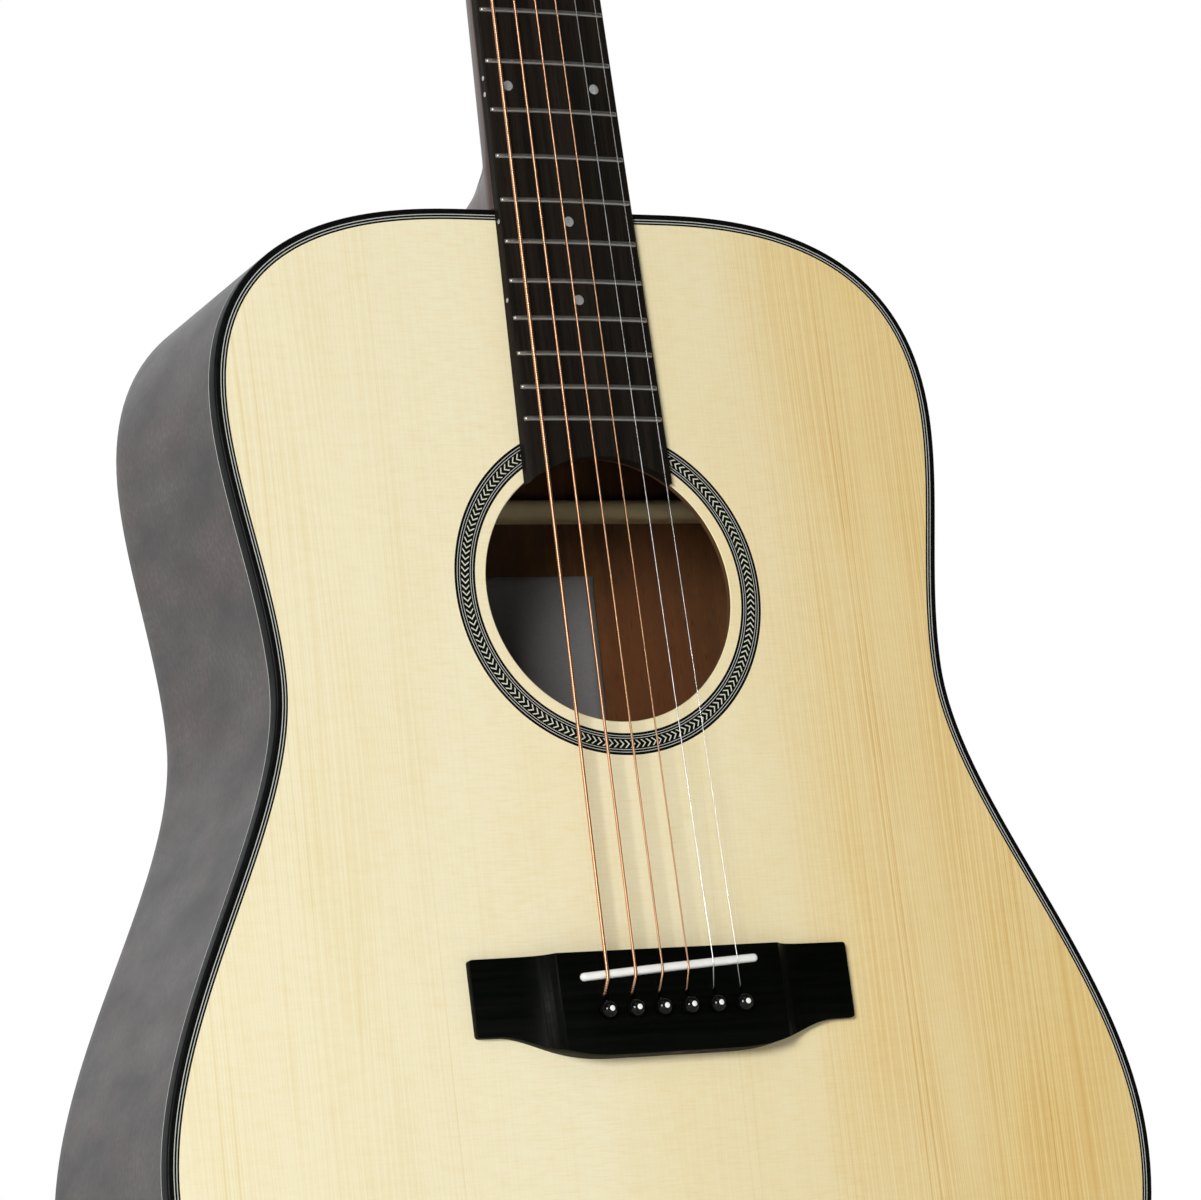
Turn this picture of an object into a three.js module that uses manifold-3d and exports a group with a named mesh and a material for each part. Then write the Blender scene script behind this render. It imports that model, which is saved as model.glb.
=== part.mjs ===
// Steel-string acoustic guitar, built as it comes apart on a bench.
// The inner frame has its origin on the saddle line: +X towards the treble side, +Y towards the nut,
// +Z out of the soundboard, whose outer face is z = 0. The exported group turns that frame so that
// the neck points up (+Z), the soundboard faces -Y and the strap button's face is the origin.
// Millimetres throughout.

import * as THREE from 'three';
import { mergeVertices } from 'three/addons/utils/BufferGeometryUtils.js';
import Module from 'manifold-3d';

const wasm = await Module();
wasm.setup();

// ---------------------------------------------------------------- driving dimensions

const SCALE_LENGTH = 648;
const FRET_COUNT = 20;
const GLUE_GAP = 0.1;
const ARCH_GAP = 0.35;

// Body outline, half of it: flat neck end, upper bout, waist, lower bout, tail.
const BODY_TOP_Y = 286.3;
const BODY_TAIL_Y = -218;
const NECK_FLAT = 40;
const UPPER_BOUT = { x: 148, y: 208 };
const WAIST = { x: 137, y: 109.5 };
const LOWER_BOUT = { x: 197.5, y: -73 };
const DEPTH_AT_NECK = 99;
const DEPTH_AT_TAIL = 126;
const BACK_ARCH = 5;
const TOP_THICKNESS = 2.8;
const BACK_THICKNESS = 2.8;
const SIDE_THICKNESS = 2.6;
const BINDING_WIDTH = 2.3;
const BINDING_HEIGHT = 6;
const PURFLING_WIDTH = 2.3;
const PURFLING_DEPTH = 1.4;
const LINING_WIDTH = 6;
const LINING_HEIGHT = 14;
const LINING_INSET = SIDE_THICKNESS + 0.2;

const BACK_BRACES = [
  { y: 197, half: 134, width: 8, height: 10 },
  { y: 92, half: 122, width: 8, height: 16 },
  { y: -20, half: 168, width: 16, height: 11 },
  { y: -120, half: 168, width: 16, height: 11 },
];

const HOLE = { y: 140.5, r: 50 };
const ROSETTE = { inner: 54.4, outer: 62.6, depth: 1.2 };

// Neck, fingerboard and frets.
const BOARD_HALF_AT_NUT = 21.3;
const BOARD_HALF_AT_OCTAVE = 27.2;
const BOARD_THICKNESS = 5;
const BOARD_RADIUS = 400;
const BOARD_END_RADIUS = 49.2;
const FRET_WIDTH = 2;
const FRET_HEIGHT = 1;
const NUT_THICKNESS = 5;
const NUT_HEIGHT = 7.4;
const SHAFT_DEPTH_AT_NUT = 14;
const SHAFT_DEPTH_AT_BODY = 20;
const SHAFT_SWELL = 2.2;
const NECK_Y = BODY_TOP_Y + GLUE_GAP;
const HEEL = { halfTop: 27, halfEnd: 20, reachTop: 36, reachEnd: 17, curve: 2.2, cap: 3 };
const TENON = { half: 15, from: -8, to: -78, length: 34, gap: 0.3 };
const TRUSS = { half: 3, depth: 9, from: 252, to: 636 };
const HEAD_TILT = THREE.MathUtils.degToRad(14);
const HEAD = { length: 180, thickness: 15, half: 22, halfLow: 34, halfTop: 38 };

// Bridge, saddle and pins.
const BRIDGE = {
  half: 76.5, front: 5, corner: 1.5, height: 9,
  wing: 3.6, wingBack: -23, ridge: 45,
  bellyBack: -32.5, bellyFlat: 24, bellyEnd: 68,
};
const SADDLE = {
  length: 72.6, thickness: 3, x: -0.4, y: -2.2, top: 11.8,
  angle: THREE.MathUtils.degToRad(3.2),
};
const PIN = { y: -16.4, pitch: 11, shaft: 2.6, hole: 3.2, head: 3.4, length: 25 };
const PLATE_THICKNESS = 2.5;
const STRING_EXIT_Y = -12.6;

// Strings, from the first (treble) to the sixth (bass).
const STRING_RADII = [0.15, 0.2, 0.31, 0.41, 0.53, 0.67];
const AT_NUT = { spread: 35.4, shift: -1 };
const AT_SADDLE = { spread: 53.4, shift: -0.35 };

// Tuning machines, in the headstock's own frame: x across, y along, z out of its front face.
const POST = { radius: 3.1, hole: 4.2, top: 15, stringHeight: 9 };
const POST_Y = [42, 84, 126];
const POST_X = [25, 24, 23];
const TUNER_PLATE = { thickness: 1.5, gap: 0.3 };
const GEAR = { radius: 6.5, thickness: 2.2, z: -21 };
const WORM = { radius: 3, shaft: 1.9, offset: 9.9 };
const BUTTON = { from: 43, length: 16, halfWide: 9.5, halfThick: 5 };

const STRAP_BUTTON = { z: -62, shaft: 4, reach: 12, head: 7.5 };

const COLOURS = {
  spruce: 0xe8dab0,
  mahogany: 0x6b4a34,
  darkMahogany: 0x4c382c,
  brace: 0xc9b48a,
  black: 0x101110,
  rosewood: 0x2a231d,
  bone: 0xf1ecdc,
  nickel: 0xc4c4c2,
  steel: 0xb9bcc0,
  bronze: 0xb87a4c,
  paper: 0x9a9694,
  ring: 0xa8a78e,
};

// ---------------------------------------------------------------- geometry helpers

function polygon(points) {
  return new THREE.Shape(points.map(([x, y]) => new THREE.Vector2(x, y)));
}

// A prism of a plan shape between two heights.
function plate(shape, low, high, curveSegments = 12) {
  const options = { depth: high - low, bevelEnabled: false, curveSegments };
  return new THREE.ExtrudeGeometry(shape, options).translate(0, 0, low);
}

// A prism of an (x, z) profile between two y stations.
function prismAlongY(shape, low, high, steps = 1) {
  const options = { depth: high - low, steps, bevelEnabled: false };
  return new THREE.ExtrudeGeometry(shape, options).rotateX(Math.PI / 2).translate(0, high, 0);
}

function box(x0, x1, y0, y1, z0, z1) {
  const geometry = new THREE.BoxGeometry(x1 - x0, y1 - y0, z1 - z0);
  return geometry.translate((x0 + x1) / 2, (y0 + y1) / 2, (z0 + z1) / 2);
}

// An upright cylinder.
function rod(radius, x, y, z0, z1, sides = 12) {
  const geometry = new THREE.CylinderGeometry(radius, radius, z1 - z0, sides).rotateX(Math.PI / 2);
  return geometry.translate(x, y, (z0 + z1) / 2);
}

// A cylinder along x.
function axle(radius, x0, x1, y, z, sides = 10) {
  const geometry = new THREE.CylinderGeometry(radius, radius, Math.abs(x1 - x0), sides);
  return geometry.rotateZ(Math.PI / 2).translate((x0 + x1) / 2, y, z);
}

// Moves every vertex by a function of its position.
function warp(geometry, move) {
  const positions = geometry.attributes.position;
  const point = new THREE.Vector3();
  for (let i = 0; i < positions.count; i += 1) {
    point.fromBufferAttribute(positions, i);
    move(point);
    positions.setXYZ(i, point.x, point.y, point.z);
  }
  return geometry;
}

// Shared vertices, no zero-area triangles, faces pointing out.
function closed(geometry) {
  const bare = geometry.clone();
  bare.deleteAttribute('normal');
  bare.deleteAttribute('uv');
  const merged = mergeVertices(bare, 1e-4);
  const positions = merged.attributes.position;
  const corners = [new THREE.Vector3(), new THREE.Vector3(), new THREE.Vector3()];
  const triangles = [];
  let volume = 0;
  for (let i = 0; i < merged.index.count; i += 3) {
    const ids = [0, 1, 2].map((k) => merged.index.getX(i + k));
    if (new Set(ids).size < 3) continue;
    triangles.push(ids);
    corners.forEach((corner, k) => corner.fromBufferAttribute(positions, ids[k]));
    volume += corners[0].dot(corners[1].clone().cross(corners[2]));
  }
  const outward = volume < 0 ? triangles.map(([a, b, c]) => [a, c, b]) : triangles;
  merged.setIndex(outward.flat());
  return merged;
}

function toSolid(geometry) {
  const merged = closed(geometry);
  const vertProperties = new Float32Array(merged.attributes.position.array);
  const triVerts = new Uint32Array(merged.index.array);
  return new wasm.Manifold(new wasm.Mesh({ numProp: 3, vertProperties, triVerts }));
}

function fromSolid(solid) {
  const mesh = solid.getMesh();
  const geometry = new THREE.BufferGeometry();
  geometry.setAttribute('position', new THREE.BufferAttribute(mesh.vertProperties, 3));
  geometry.setIndex(new THREE.BufferAttribute(mesh.triVerts, 1));
  return geometry;
}

function join(...geometries) {
  return fromSolid(geometries.map(toSolid).reduce((sum, next) => sum.add(next)));
}

function cut(geometry, ...cutters) {
  return fromSolid(cutters.map(toSolid).reduce((rest, next) => rest.subtract(next), toSolid(geometry)));
}

function overlap(first, second) {
  return fromSolid(toSolid(first).intersect(toSolid(second)));
}

// A round bar through a list of points, with a radius for each point.
function sweep(points, radii, sides) {
  const rim = [];
  for (let i = 0; i < sides; i += 1) {
    const angle = (2 * Math.PI * i) / sides;
    rim.push([Math.cos(angle), Math.sin(angle)]);
  }
  const last = points.length - 1;
  const options = { depth: last, steps: last, bevelEnabled: false };
  const across = new THREE.Vector3(1, 0, 0);
  const frames = points.map((point, k) => {
    const tangent = points[Math.min(k + 1, last)].clone().sub(points[Math.max(k - 1, 0)]).normalize();
    const up = tangent.clone().cross(across).normalize();
    return { side: up.clone().cross(tangent), up };
  });
  return warp(new THREE.ExtrudeGeometry(polygon(rim), options), (vertex) => {
    const k = Math.round(vertex.z);
    const { side, up } = frames[k];
    const reach = side.clone().multiplyScalar(vertex.x).addScaledVector(up, vertex.y);
    vertex.copy(points[k]).addScaledVector(reach, radii[k]);
  });
}

// ---------------------------------------------------------------- body outline

// Stations down the treble half, each with the outline point and its outward normal.
function outlineStations(perCurve = 8) {
  const start = new THREE.Vector2(0, BODY_TOP_Y);
  const shoulder = new THREE.Vector2(NECK_FLAT, BODY_TOP_Y);
  const upper = new THREE.Vector2(UPPER_BOUT.x, UPPER_BOUT.y);
  const waist = new THREE.Vector2(WAIST.x, WAIST.y);
  const lower = new THREE.Vector2(LOWER_BOUT.x, LOWER_BOUT.y);
  const tail = new THREE.Vector2(0, BODY_TAIL_Y);
  const handle = (point, dx, dy) => new THREE.Vector2(point.x + dx, point.y + dy);
  const curves = [
    new THREE.CubicBezierCurve(shoulder, handle(shoulder, 32, 0), handle(upper, 0, 76), upper),
    new THREE.CubicBezierCurve(upper, handle(upper, 0, -31), handle(waist, 0, 33), waist),
    new THREE.CubicBezierCurve(waist, handle(waist, 0, -54), handle(lower, 0, 66), lower),
    new THREE.CubicBezierCurve(lower, handle(lower, 0, -84), handle(tail, 118, 0), tail),
  ];
  const stations = [{ point: start, normal: new THREE.Vector2(0, 1) }];
  for (const curve of curves) {
    for (let i = 0; i < perCurve; i += 1) {
      const tangent = curve.getTangent(i / perCurve);
      const normal = new THREE.Vector2(-tangent.y, tangent.x);
      stations.push({ point: curve.getPoint(i / perCurve), normal });
    }
  }
  stations.push({ point: tail, normal: new THREE.Vector2(0, -1) });
  return stations;
}

const STATIONS = outlineStations();

function halfOutline(inset) {
  return STATIONS.map(({ point, normal }) => point.clone().addScaledVector(normal, -inset));
}

// The neck end is one straight edge, so the closed outline skips the point in its middle.
function fullOutline(inset) {
  const right = halfOutline(inset).slice(1);
  const left = right.slice(0, -1).reverse().map((point) => new THREE.Vector2(-point.x, point.y));
  return [...right, ...left];
}

function outlineShape(inset) {
  return new THREE.Shape(fullOutline(inset));
}

function ringShape(outerInset, innerInset) {
  const shape = outlineShape(outerInset);
  shape.holes.push(new THREE.Path(fullOutline(innerInset).reverse()));
  return shape;
}

// A strip along one half of the outline; side is +1 for treble and -1 for bass.
function stripShape(side, outerInset, innerInset, keep = () => true) {
  const kept = STATIONS.map((station, k) => k).filter((k) => keep(STATIONS[k].point));
  const outer = halfOutline(outerInset);
  const inner = halfOutline(innerInset);
  const loop = [...kept.map((k) => outer[k]), ...kept.map((k) => inner[k]).reverse()];
  return new THREE.Shape(loop.map((point) => new THREE.Vector2(side * point.x, point.y)));
}

// Height of the back's outer face: deeper towards the tail, level over the blocks and arched
// from there out to the sides.
function backHeight(x, y) {
  const along = (BODY_TOP_Y - y) / (BODY_TOP_Y - BODY_TAIL_Y);
  const centre = THREE.MathUtils.lerp(DEPTH_AT_NECK, DEPTH_AT_TAIL, along);
  const outside = Math.max(Math.abs(x) - NECK_FLAT, 0) / (LOWER_BOUT.x - NECK_FLAT);
  return -(centre - BACK_ARCH * outside ** 2);
}

// Stretches a prism so that it runs from the back's face, raised by an offset, to a top height.
function fitToBack(shape, bottomOffset, top) {
  return warp(plate(shape, 0, 1), (vertex) => {
    vertex.z = vertex.z < 0.5 ? backHeight(vertex.x, vertex.y) + bottomOffset : top(vertex.x, vertex.y);
  });
}

// ---------------------------------------------------------------- body shell

const pinX = (number) => (3.5 - number) * PIN.pitch;
const pinCutters = (low, high) => [1, 2, 3, 4, 5, 6].flatMap((number) => {
  const x = pinX(number);
  const slot = box(x - 1, x + 1, PIN.y, STRING_EXIT_Y + 1, low, high);
  return [rod(PIN.hole, x, PIN.y, low, high), slot];
});

function circlePoints(radius, y, count = 40) {
  return Array.from({ length: count }, (unused, i) => {
    const angle = (2 * Math.PI * i) / count;
    return [radius * Math.cos(angle), y + radius * Math.sin(angle)];
  });
}

function annulus(inner, outer, y) {
  const shape = polygon(circlePoints(outer, y));
  shape.holes.push(new THREE.Path(polygon(circlePoints(inner, y)).getPoints()));
  return shape;
}

function makeSoundboard() {
  const edge = BINDING_WIDTH + GLUE_GAP;
  const shape = outlineShape(edge);
  shape.holes.push(new THREE.Path(polygon(circlePoints(HOLE.r, HOLE.y)).getPoints()));
  const ledge = ringShape(edge - 1, edge + PURFLING_WIDTH + GLUE_GAP);
  const groove = annulus(ROSETTE.inner - GLUE_GAP, ROSETTE.outer + GLUE_GAP, HOLE.y);
  return cut(
    plate(shape, -TOP_THICKNESS, 0),
    plate(ledge, -PURFLING_DEPTH - GLUE_GAP, 1),
    plate(groove, -ROSETTE.depth - GLUE_GAP, 1),
    ...pinCutters(-TOP_THICKNESS - 1, 1),
  );
}

// The arched back: a disc of rings stretched onto the outline.
function makeBack() {
  const rings = [0.4, 0.75, 1];
  const profile = [
    [0, 0],
    ...rings.map((radius) => [radius, 0]),
    ...[...rings].reverse().map((radius) => [radius, 1]),
    [0, 1],
  ];
  const outline = fullOutline(BINDING_WIDTH + GLUE_GAP);
  const centreY = 60;
  const count = outline.length;
  const points = profile.map(([radius, height]) => new THREE.Vector2(radius, height));
  return warp(new THREE.LatheGeometry(points, count), (vertex) => {
    const radius = Math.hypot(vertex.x, vertex.z);
    const turn = Math.atan2(vertex.x, vertex.z) / (2 * Math.PI);
    const target = outline[(Math.round(turn * count) + count) % count];
    const x = target.x * radius;
    const y = centreY + (target.y - centreY) * radius;
    const z = backHeight(x, y) + vertex.y * BACK_THICKNESS;
    vertex.set(x, y, z);
  });
}

function makeTopBinding() {
  return plate(ringShape(0, BINDING_WIDTH), -BINDING_HEIGHT, 0);
}

function makeTopPurfling() {
  const inset = BINDING_WIDTH + GLUE_GAP;
  return plate(ringShape(inset, inset + PURFLING_WIDTH), -PURFLING_DEPTH, 0);
}

function makeBackBinding() {
  const top = (x, y) => backHeight(x, y) + BINDING_HEIGHT;
  return fitToBack(ringShape(0, BINDING_WIDTH), 0, top);
}

function makeSide(side) {
  const shell = fitToBack(
    stripShape(side, 0, SIDE_THICKNESS),
    BINDING_HEIGHT + ARCH_GAP,
    () => -BINDING_HEIGHT - GLUE_GAP,
  );
  const buttonHole = strapButtonHole();
  return cut(shell, tenonBlock(TENON.gap, BODY_TOP_Y + 5), buttonHole);
}

function makeTopLining(side) {
  const keep = (point) => point.x > NECK_FLAT - 1 && (point.y > 0 || point.x > NECK_FLAT + 4);
  const shape = stripShape(side, LINING_INSET, LINING_INSET + LINING_WIDTH, keep);
  return plate(shape, -TOP_THICKNESS - LINING_HEIGHT, -TOP_THICKNESS);
}

function makeBackLining(side) {
  const keep = (point) => point.x > NECK_FLAT - 1 && (point.y > 0 || point.x > NECK_FLAT + 4);
  const shape = stripShape(side, LINING_INSET, LINING_INSET + LINING_WIDTH, keep);
  const bottom = BACK_THICKNESS + GLUE_GAP;
  return fitToBack(shape, bottom, (x, y) => backHeight(x, y) + bottom + LINING_HEIGHT);
}

// ---------------------------------------------------------------- blocks and bracing

function tenonBlock(gap, end) {
  const half = TENON.half + gap;
  return box(-half, half, NECK_Y - TENON.length - gap, end, TENON.to - gap, TENON.from + gap);
}

function makeNeckBlock() {
  const half = NECK_FLAT - 2;
  const face = BODY_TOP_Y - SIDE_THICKNESS - GLUE_GAP;
  const shape = polygon([[-half, 240], [half, 240], [half, face], [-half, face]]);
  const block = fitToBack(shape, BACK_THICKNESS + 1, () => -TOP_THICKNESS);
  return cut(block, tenonBlock(TENON.gap, BODY_TOP_Y + 5));
}

function makeTailBlock() {
  const half = NECK_FLAT;
  const inset = LINING_INSET;
  const face = halfOutline(inset).filter((point) => point.y < 0 && point.x < half);
  const corner = [half, face[0].y + 4];
  const right = [corner, ...face.map((point) => [point.x, point.y])];
  const left = [...right].reverse().slice(1).map(([x, y]) => [-x, y]);
  const shape = polygon([[-half, BODY_TAIL_Y + 24], [half, BODY_TAIL_Y + 24], ...right, ...left]);
  const block = fitToBack(shape, BACK_THICKNESS + 1, () => -TOP_THICKNESS);
  return cut(block, strapButtonHole());
}

// A soundboard brace: full height in the middle, tapering to its ends.
function makeBrace(from, to, width, height) {
  const start = new THREE.Vector2(...from);
  const run = new THREE.Vector2(...to).sub(start);
  const half = run.length() / 2;
  const taper = Math.min(half * 0.6, 45);
  const profile = polygon([
    [-half, 0], [-half, -3], [taper - half, -height], [half - taper, -height], [half, -3], [half, 0],
  ]);
  const middle = start.clone().addScaledVector(run, 0.5);
  const bar = prismAlongY(profile, -width / 2, width / 2).rotateZ(run.angle());
  return bar.translate(middle.x, middle.y, -TOP_THICKNESS);
}

const X_BRACE = { crossing: 60, low: [152, -82], high: [-112, 164.5], width: 8, height: 16 };

function makeXBrace(side) {
  const mirror = ([x, y]) => [side * x, y];
  const bar = makeBrace(mirror(X_BRACE.high), mirror(X_BRACE.low), X_BRACE.width, X_BRACE.height);
  const other = makeBrace(mirror([-X_BRACE.low[0], X_BRACE.low[1]]),
    mirror([-X_BRACE.high[0], X_BRACE.high[1]]), X_BRACE.width + 0.3, X_BRACE.height + 1);
  const half = -TOP_THICKNESS - X_BRACE.height / 2;
  const reach = 12;
  const lower = box(-reach, reach, X_BRACE.crossing - reach, X_BRACE.crossing + reach, half - 12, half);
  const upper = box(-reach, reach, X_BRACE.crossing - reach, X_BRACE.crossing + reach, half - 0.2, 1);
  return cut(bar, overlap(other.translate(0, 0, side > 0 ? 0.5 : 0), side > 0 ? upper : lower));
}

// A transverse back brace whose lower edge follows the arch.
function makeBackBrace(y, half, width, height) {
  const bar = new THREE.BoxGeometry(2 * half, width, 1, 8, 1, 1).translate(0, y, 0);
  return warp(bar, (vertex) => {
    const top = Math.abs(vertex.x) > half * 0.9 ? 4 : height;
    const floor = backHeight(vertex.x, vertex.y) + BACK_THICKNESS + ARCH_GAP;
    vertex.z = floor + (vertex.z > 0 ? top : 0);
  });
}

function makeBridgePlate() {
  const shape = polygon([[-48, 8], [48, 8], [86, -36], [-86, -36]]);
  const bottom = -TOP_THICKNESS - PLATE_THICKNESS;
  return cut(plate(shape, bottom, -TOP_THICKNESS), ...pinCutters(bottom - 1, 0));
}

function makeLabel() {
  const label = { half: 47, low: 104, high: 172, thickness: 0.3 };
  const sheet = new THREE.BoxGeometry(2 * label.half, label.high - label.low, 1, 8, 1, 1);
  return warp(sheet.translate(0, (label.low + label.high) / 2, 0), (vertex) => {
    const lift = BACK_THICKNESS + ARCH_GAP + (vertex.z > 0 ? label.thickness : 0);
    vertex.z = backHeight(vertex.x, vertex.y) + lift;
  });
}

// ---------------------------------------------------------------- bridge, saddle, pins

function bridgeShape() {
  const { half, front, corner, wingBack, bellyBack, bellyFlat, bellyEnd } = BRIDGE;
  const shape = new THREE.Shape();
  shape.moveTo(-half + corner, front);
  shape.lineTo(half - corner, front);
  shape.quadraticCurveTo(half, front, half, front - corner);
  shape.lineTo(half, wingBack + corner);
  shape.quadraticCurveTo(half, wingBack, half - corner, wingBack);
  shape.lineTo(bellyEnd, wingBack);
  shape.bezierCurveTo(54, wingBack - 1, 48, bellyBack, bellyFlat, bellyBack);
  shape.lineTo(-bellyFlat, bellyBack);
  shape.bezierCurveTo(-48, bellyBack, -54, wingBack - 1, -bellyEnd, wingBack);
  shape.lineTo(-half + corner, wingBack);
  shape.quadraticCurveTo(-half, wingBack, -half, wingBack + corner);
  shape.lineTo(-half, front - corner);
  shape.quadraticCurveTo(-half, front, -half + corner, front);
  return shape;
}

// The space over one wing, with a scooped step up to the centre.
function wingCutter(side) {
  const { half, height, wing, ridge } = BRIDGE;
  const shape = new THREE.Shape();
  shape.moveTo(side * ridge, height + 1);
  shape.lineTo(side * ridge, height);
  shape.quadraticCurveTo(side * (ridge + 4), wing + 0.6, side * (ridge + 14), wing);
  shape.lineTo(side * (half + 2), wing - 0.6);
  shape.lineTo(side * (half + 2), height + 1);
  return prismAlongY(new THREE.Shape(shape.getPoints(6)), BRIDGE.bellyBack - 2, BRIDGE.front + 2);
}

function saddleBar(extra, bottom, top) {
  const half = SADDLE.length / 2 + extra;
  const thick = SADDLE.thickness / 2 + extra;
  const shape = new THREE.Shape();
  shape.absarc(half - thick, 0, thick, -Math.PI / 2, Math.PI / 2);
  shape.absarc(thick - half, 0, thick, Math.PI / 2, (3 * Math.PI) / 2);
  const bar = plate(shape, bottom, top, 5);
  return bar.rotateZ(SADDLE.angle).translate(SADDLE.x, SADDLE.y, 0);
}

// The ramp that lets each string rise forward out of its pin hole.
function stringRamp(number) {
  const x = pinX(number);
  const start = STRING_EXIT_Y + 0.9;
  const profile = polygon([[start - 2, 2.5], [start, 2.5], [start + 2.6, BRIDGE.height + 1],
    [start - 2, BRIDGE.height + 1]]);
  const wedge = new THREE.ExtrudeGeometry(profile, { depth: 2, bevelEnabled: false });
  return wedge.rotateX(Math.PI / 2).rotateZ(Math.PI / 2).translate(x - 1, 0, 0);
}

function makeBridge() {
  const ramps = [1, 2, 3, 4, 5, 6].map(stringRamp);
  return cut(
    plate(bridgeShape(), 0, BRIDGE.height, 6),
    wingCutter(1),
    wingCutter(-1),
    saddleBar(0.15, 3.6, BRIDGE.height + 1),
    ...pinCutters(-1, BRIDGE.height + 1),
    ...ramps,
  );
}

function makeBridgePin(number) {
  const neck = BRIDGE.height + 0.3;
  const profile = [
    [0, neck - PIN.length], [2.1, neck - PIN.length], [PIN.shaft, neck], [PIN.head, neck],
    [PIN.head, neck + 1.2], [2.9, neck + 2.9], [1.8, neck + 3.9], [0, neck + 4.2],
  ].map(([radius, height]) => new THREE.Vector2(radius, height));
  return new THREE.LatheGeometry(profile, 10).rotateX(Math.PI / 2).translate(pinX(number), PIN.y, 0);
}

// ---------------------------------------------------------------- neck and fingerboard

function boardHalfWidth(y) {
  const slope = (BOARD_HALF_AT_OCTAVE - BOARD_HALF_AT_NUT) / (SCALE_LENGTH / 2);
  return BOARD_HALF_AT_NUT + slope * (SCALE_LENGTH - y);
}

function boardCrown(x) {
  return BOARD_THICKNESS - (BOARD_RADIUS - Math.sqrt(BOARD_RADIUS ** 2 - x ** 2));
}

// A bar across the board, from y0 to y1. Its top follows the board's crown, raised by a lift.
const CROWN_STATIONS = [-30, -15, 0, 15, 30];

function flatBar(bottom, lift, y0, y1) {
  const top = CROWN_STATIONS.map((x) => [x, boardCrown(x) + lift]);
  return prismAlongY(polygon([...top, [30, bottom], [-30, bottom]]), y0, y1);
}

function crownBar(bottomLift, topLift, y0, y1) {
  const top = CROWN_STATIONS.map((x) => [x, boardCrown(x) + topLift]);
  const low = [...CROWN_STATIONS].reverse().map((x) => [x, boardCrown(x) + bottomLift]);
  return prismAlongY(polygon([...top, ...low]), y0, y1);
}

function boardPlan(inset) {
  const nut = SCALE_LENGTH;
  const shape = new THREE.Shape();
  const endHalf = boardHalfWidth(HOLE.y + 43) - inset;
  const angle = Math.acos(endHalf / BOARD_END_RADIUS);
  shape.moveTo(boardHalfWidth(nut) - inset, nut);
  shape.lineTo(inset - boardHalfWidth(nut), nut);
  shape.absarc(0, HOLE.y, BOARD_END_RADIUS, Math.PI - angle, angle, true);
  return shape;
}

const fretY = (number) => SCALE_LENGTH * 2 ** (-number / 12);
const FRETS = Array.from({ length: FRET_COUNT }, (unused, i) => i + 1);
const RAIL = { half: 1.5, top: 3.4, slot: 3, gap: 0.4 };

function makeFingerboard() {
  const low = HOLE.y + 30;
  const blank = overlap(plate(boardPlan(0), 0, 10, 16), flatBar(0, 0, low, SCALE_LENGTH + 1));
  const slots = FRETS.map((number) => {
    const y = fretY(number);
    return box(-40, 40, y - 0.45, y + 0.45, RAIL.slot, 10);
  });
  const half = RAIL.half + RAIL.gap;
  const channel = box(-half, half, fretY(FRET_COUNT) - 3, fretY(1) + 3, -1, RAIL.top + RAIL.gap);
  return cut(blank, channel, ...slots);
}

// Crowns with tangs; the tangs meet a rail let into the board's underside.
function makeFrets() {
  const crowns = FRETS.flatMap((number) => {
    const y = fretY(number);
    const half = FRET_WIDTH / 2;
    const crown = crownBar(0.03, FRET_HEIGHT, y - half, y + half);
    const tang = flatBar(RAIL.slot + 0.15, 0.3, y - 0.3, y + 0.3);
    return [crown, tang];
  });
  const rail = box(-RAIL.half, RAIL.half, fretY(FRET_COUNT) - 2, fretY(1) + 2, 0.4, RAIL.top);
  const plan = plate(boardPlan(0.3), 0, 10, 16);
  return overlap(join(rail, ...crowns), plan);
}

// Strings stand with equal gaps between them; the spread is between the outer two.
function stringX(number, { spread, shift }) {
  const steps = STRING_RADII.slice(1).map((radius, i) => radius + STRING_RADII[i]);
  const gap = (spread - steps.reduce((sum, step) => sum + step, 0)) / steps.length;
  const passed = steps.slice(0, number - 1).reduce((sum, step) => sum + step + gap, 0);
  return spread / 2 - passed + shift;
}

function makeNut() {
  const half = BOARD_HALF_AT_NUT;
  const block = box(-half, half, SCALE_LENGTH + GLUE_GAP, SCALE_LENGTH + NUT_THICKNESS, 0, NUT_HEIGHT);
  const notches = STRING_RADII.map((radius, i) => {
    const x = stringX(i + 1, AT_NUT);
    const reach = radius + 0.15;
    return box(x - reach, x + reach, SCALE_LENGTH - 1, SCALE_LENGTH + 9, stringNutHeight() - 0.1, 12);
  });
  return cut(block, ...notches);
}

const stringNutHeight = () => BOARD_THICKNESS + FRET_HEIGHT + 0.2;

function shaftBlank() {
  const sides = 12;
  const rim = [];
  for (let i = 0; i <= sides; i += 1) {
    const angle = (Math.PI * i) / sides;
    rim.push([Math.cos(angle), -Math.sin(angle)]);
  }
  const end = SCALE_LENGTH + NUT_THICKNESS + 3;
  return warp(prismAlongY(polygon(rim), NECK_Y, end, 6), (vertex) => {
    const along = Math.max(SCALE_LENGTH - vertex.y, 0) / (SCALE_LENGTH - NECK_Y);
    const swell = along ** SHAFT_SWELL;
    const depth = THREE.MathUtils.lerp(SHAFT_DEPTH_AT_NUT, SHAFT_DEPTH_AT_BODY, swell);
    vertex.x *= boardHalfWidth(Math.min(vertex.y, SCALE_LENGTH));
    vertex.z *= depth;
  });
}

function heelEnd() {
  return backHeight(0, BODY_TOP_Y) + HEEL.cap;
}

// Half-round slices that shrink from the shaft down to the heel cap.
function heelSlice(fraction) {
  const swell = fraction ** HEEL.curve;
  const half = THREE.MathUtils.lerp(HEEL.halfEnd, HEEL.halfTop, fraction);
  const reach = THREE.MathUtils.lerp(HEEL.reachEnd, HEEL.reachTop, swell);
  return { half, reach };
}

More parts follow.
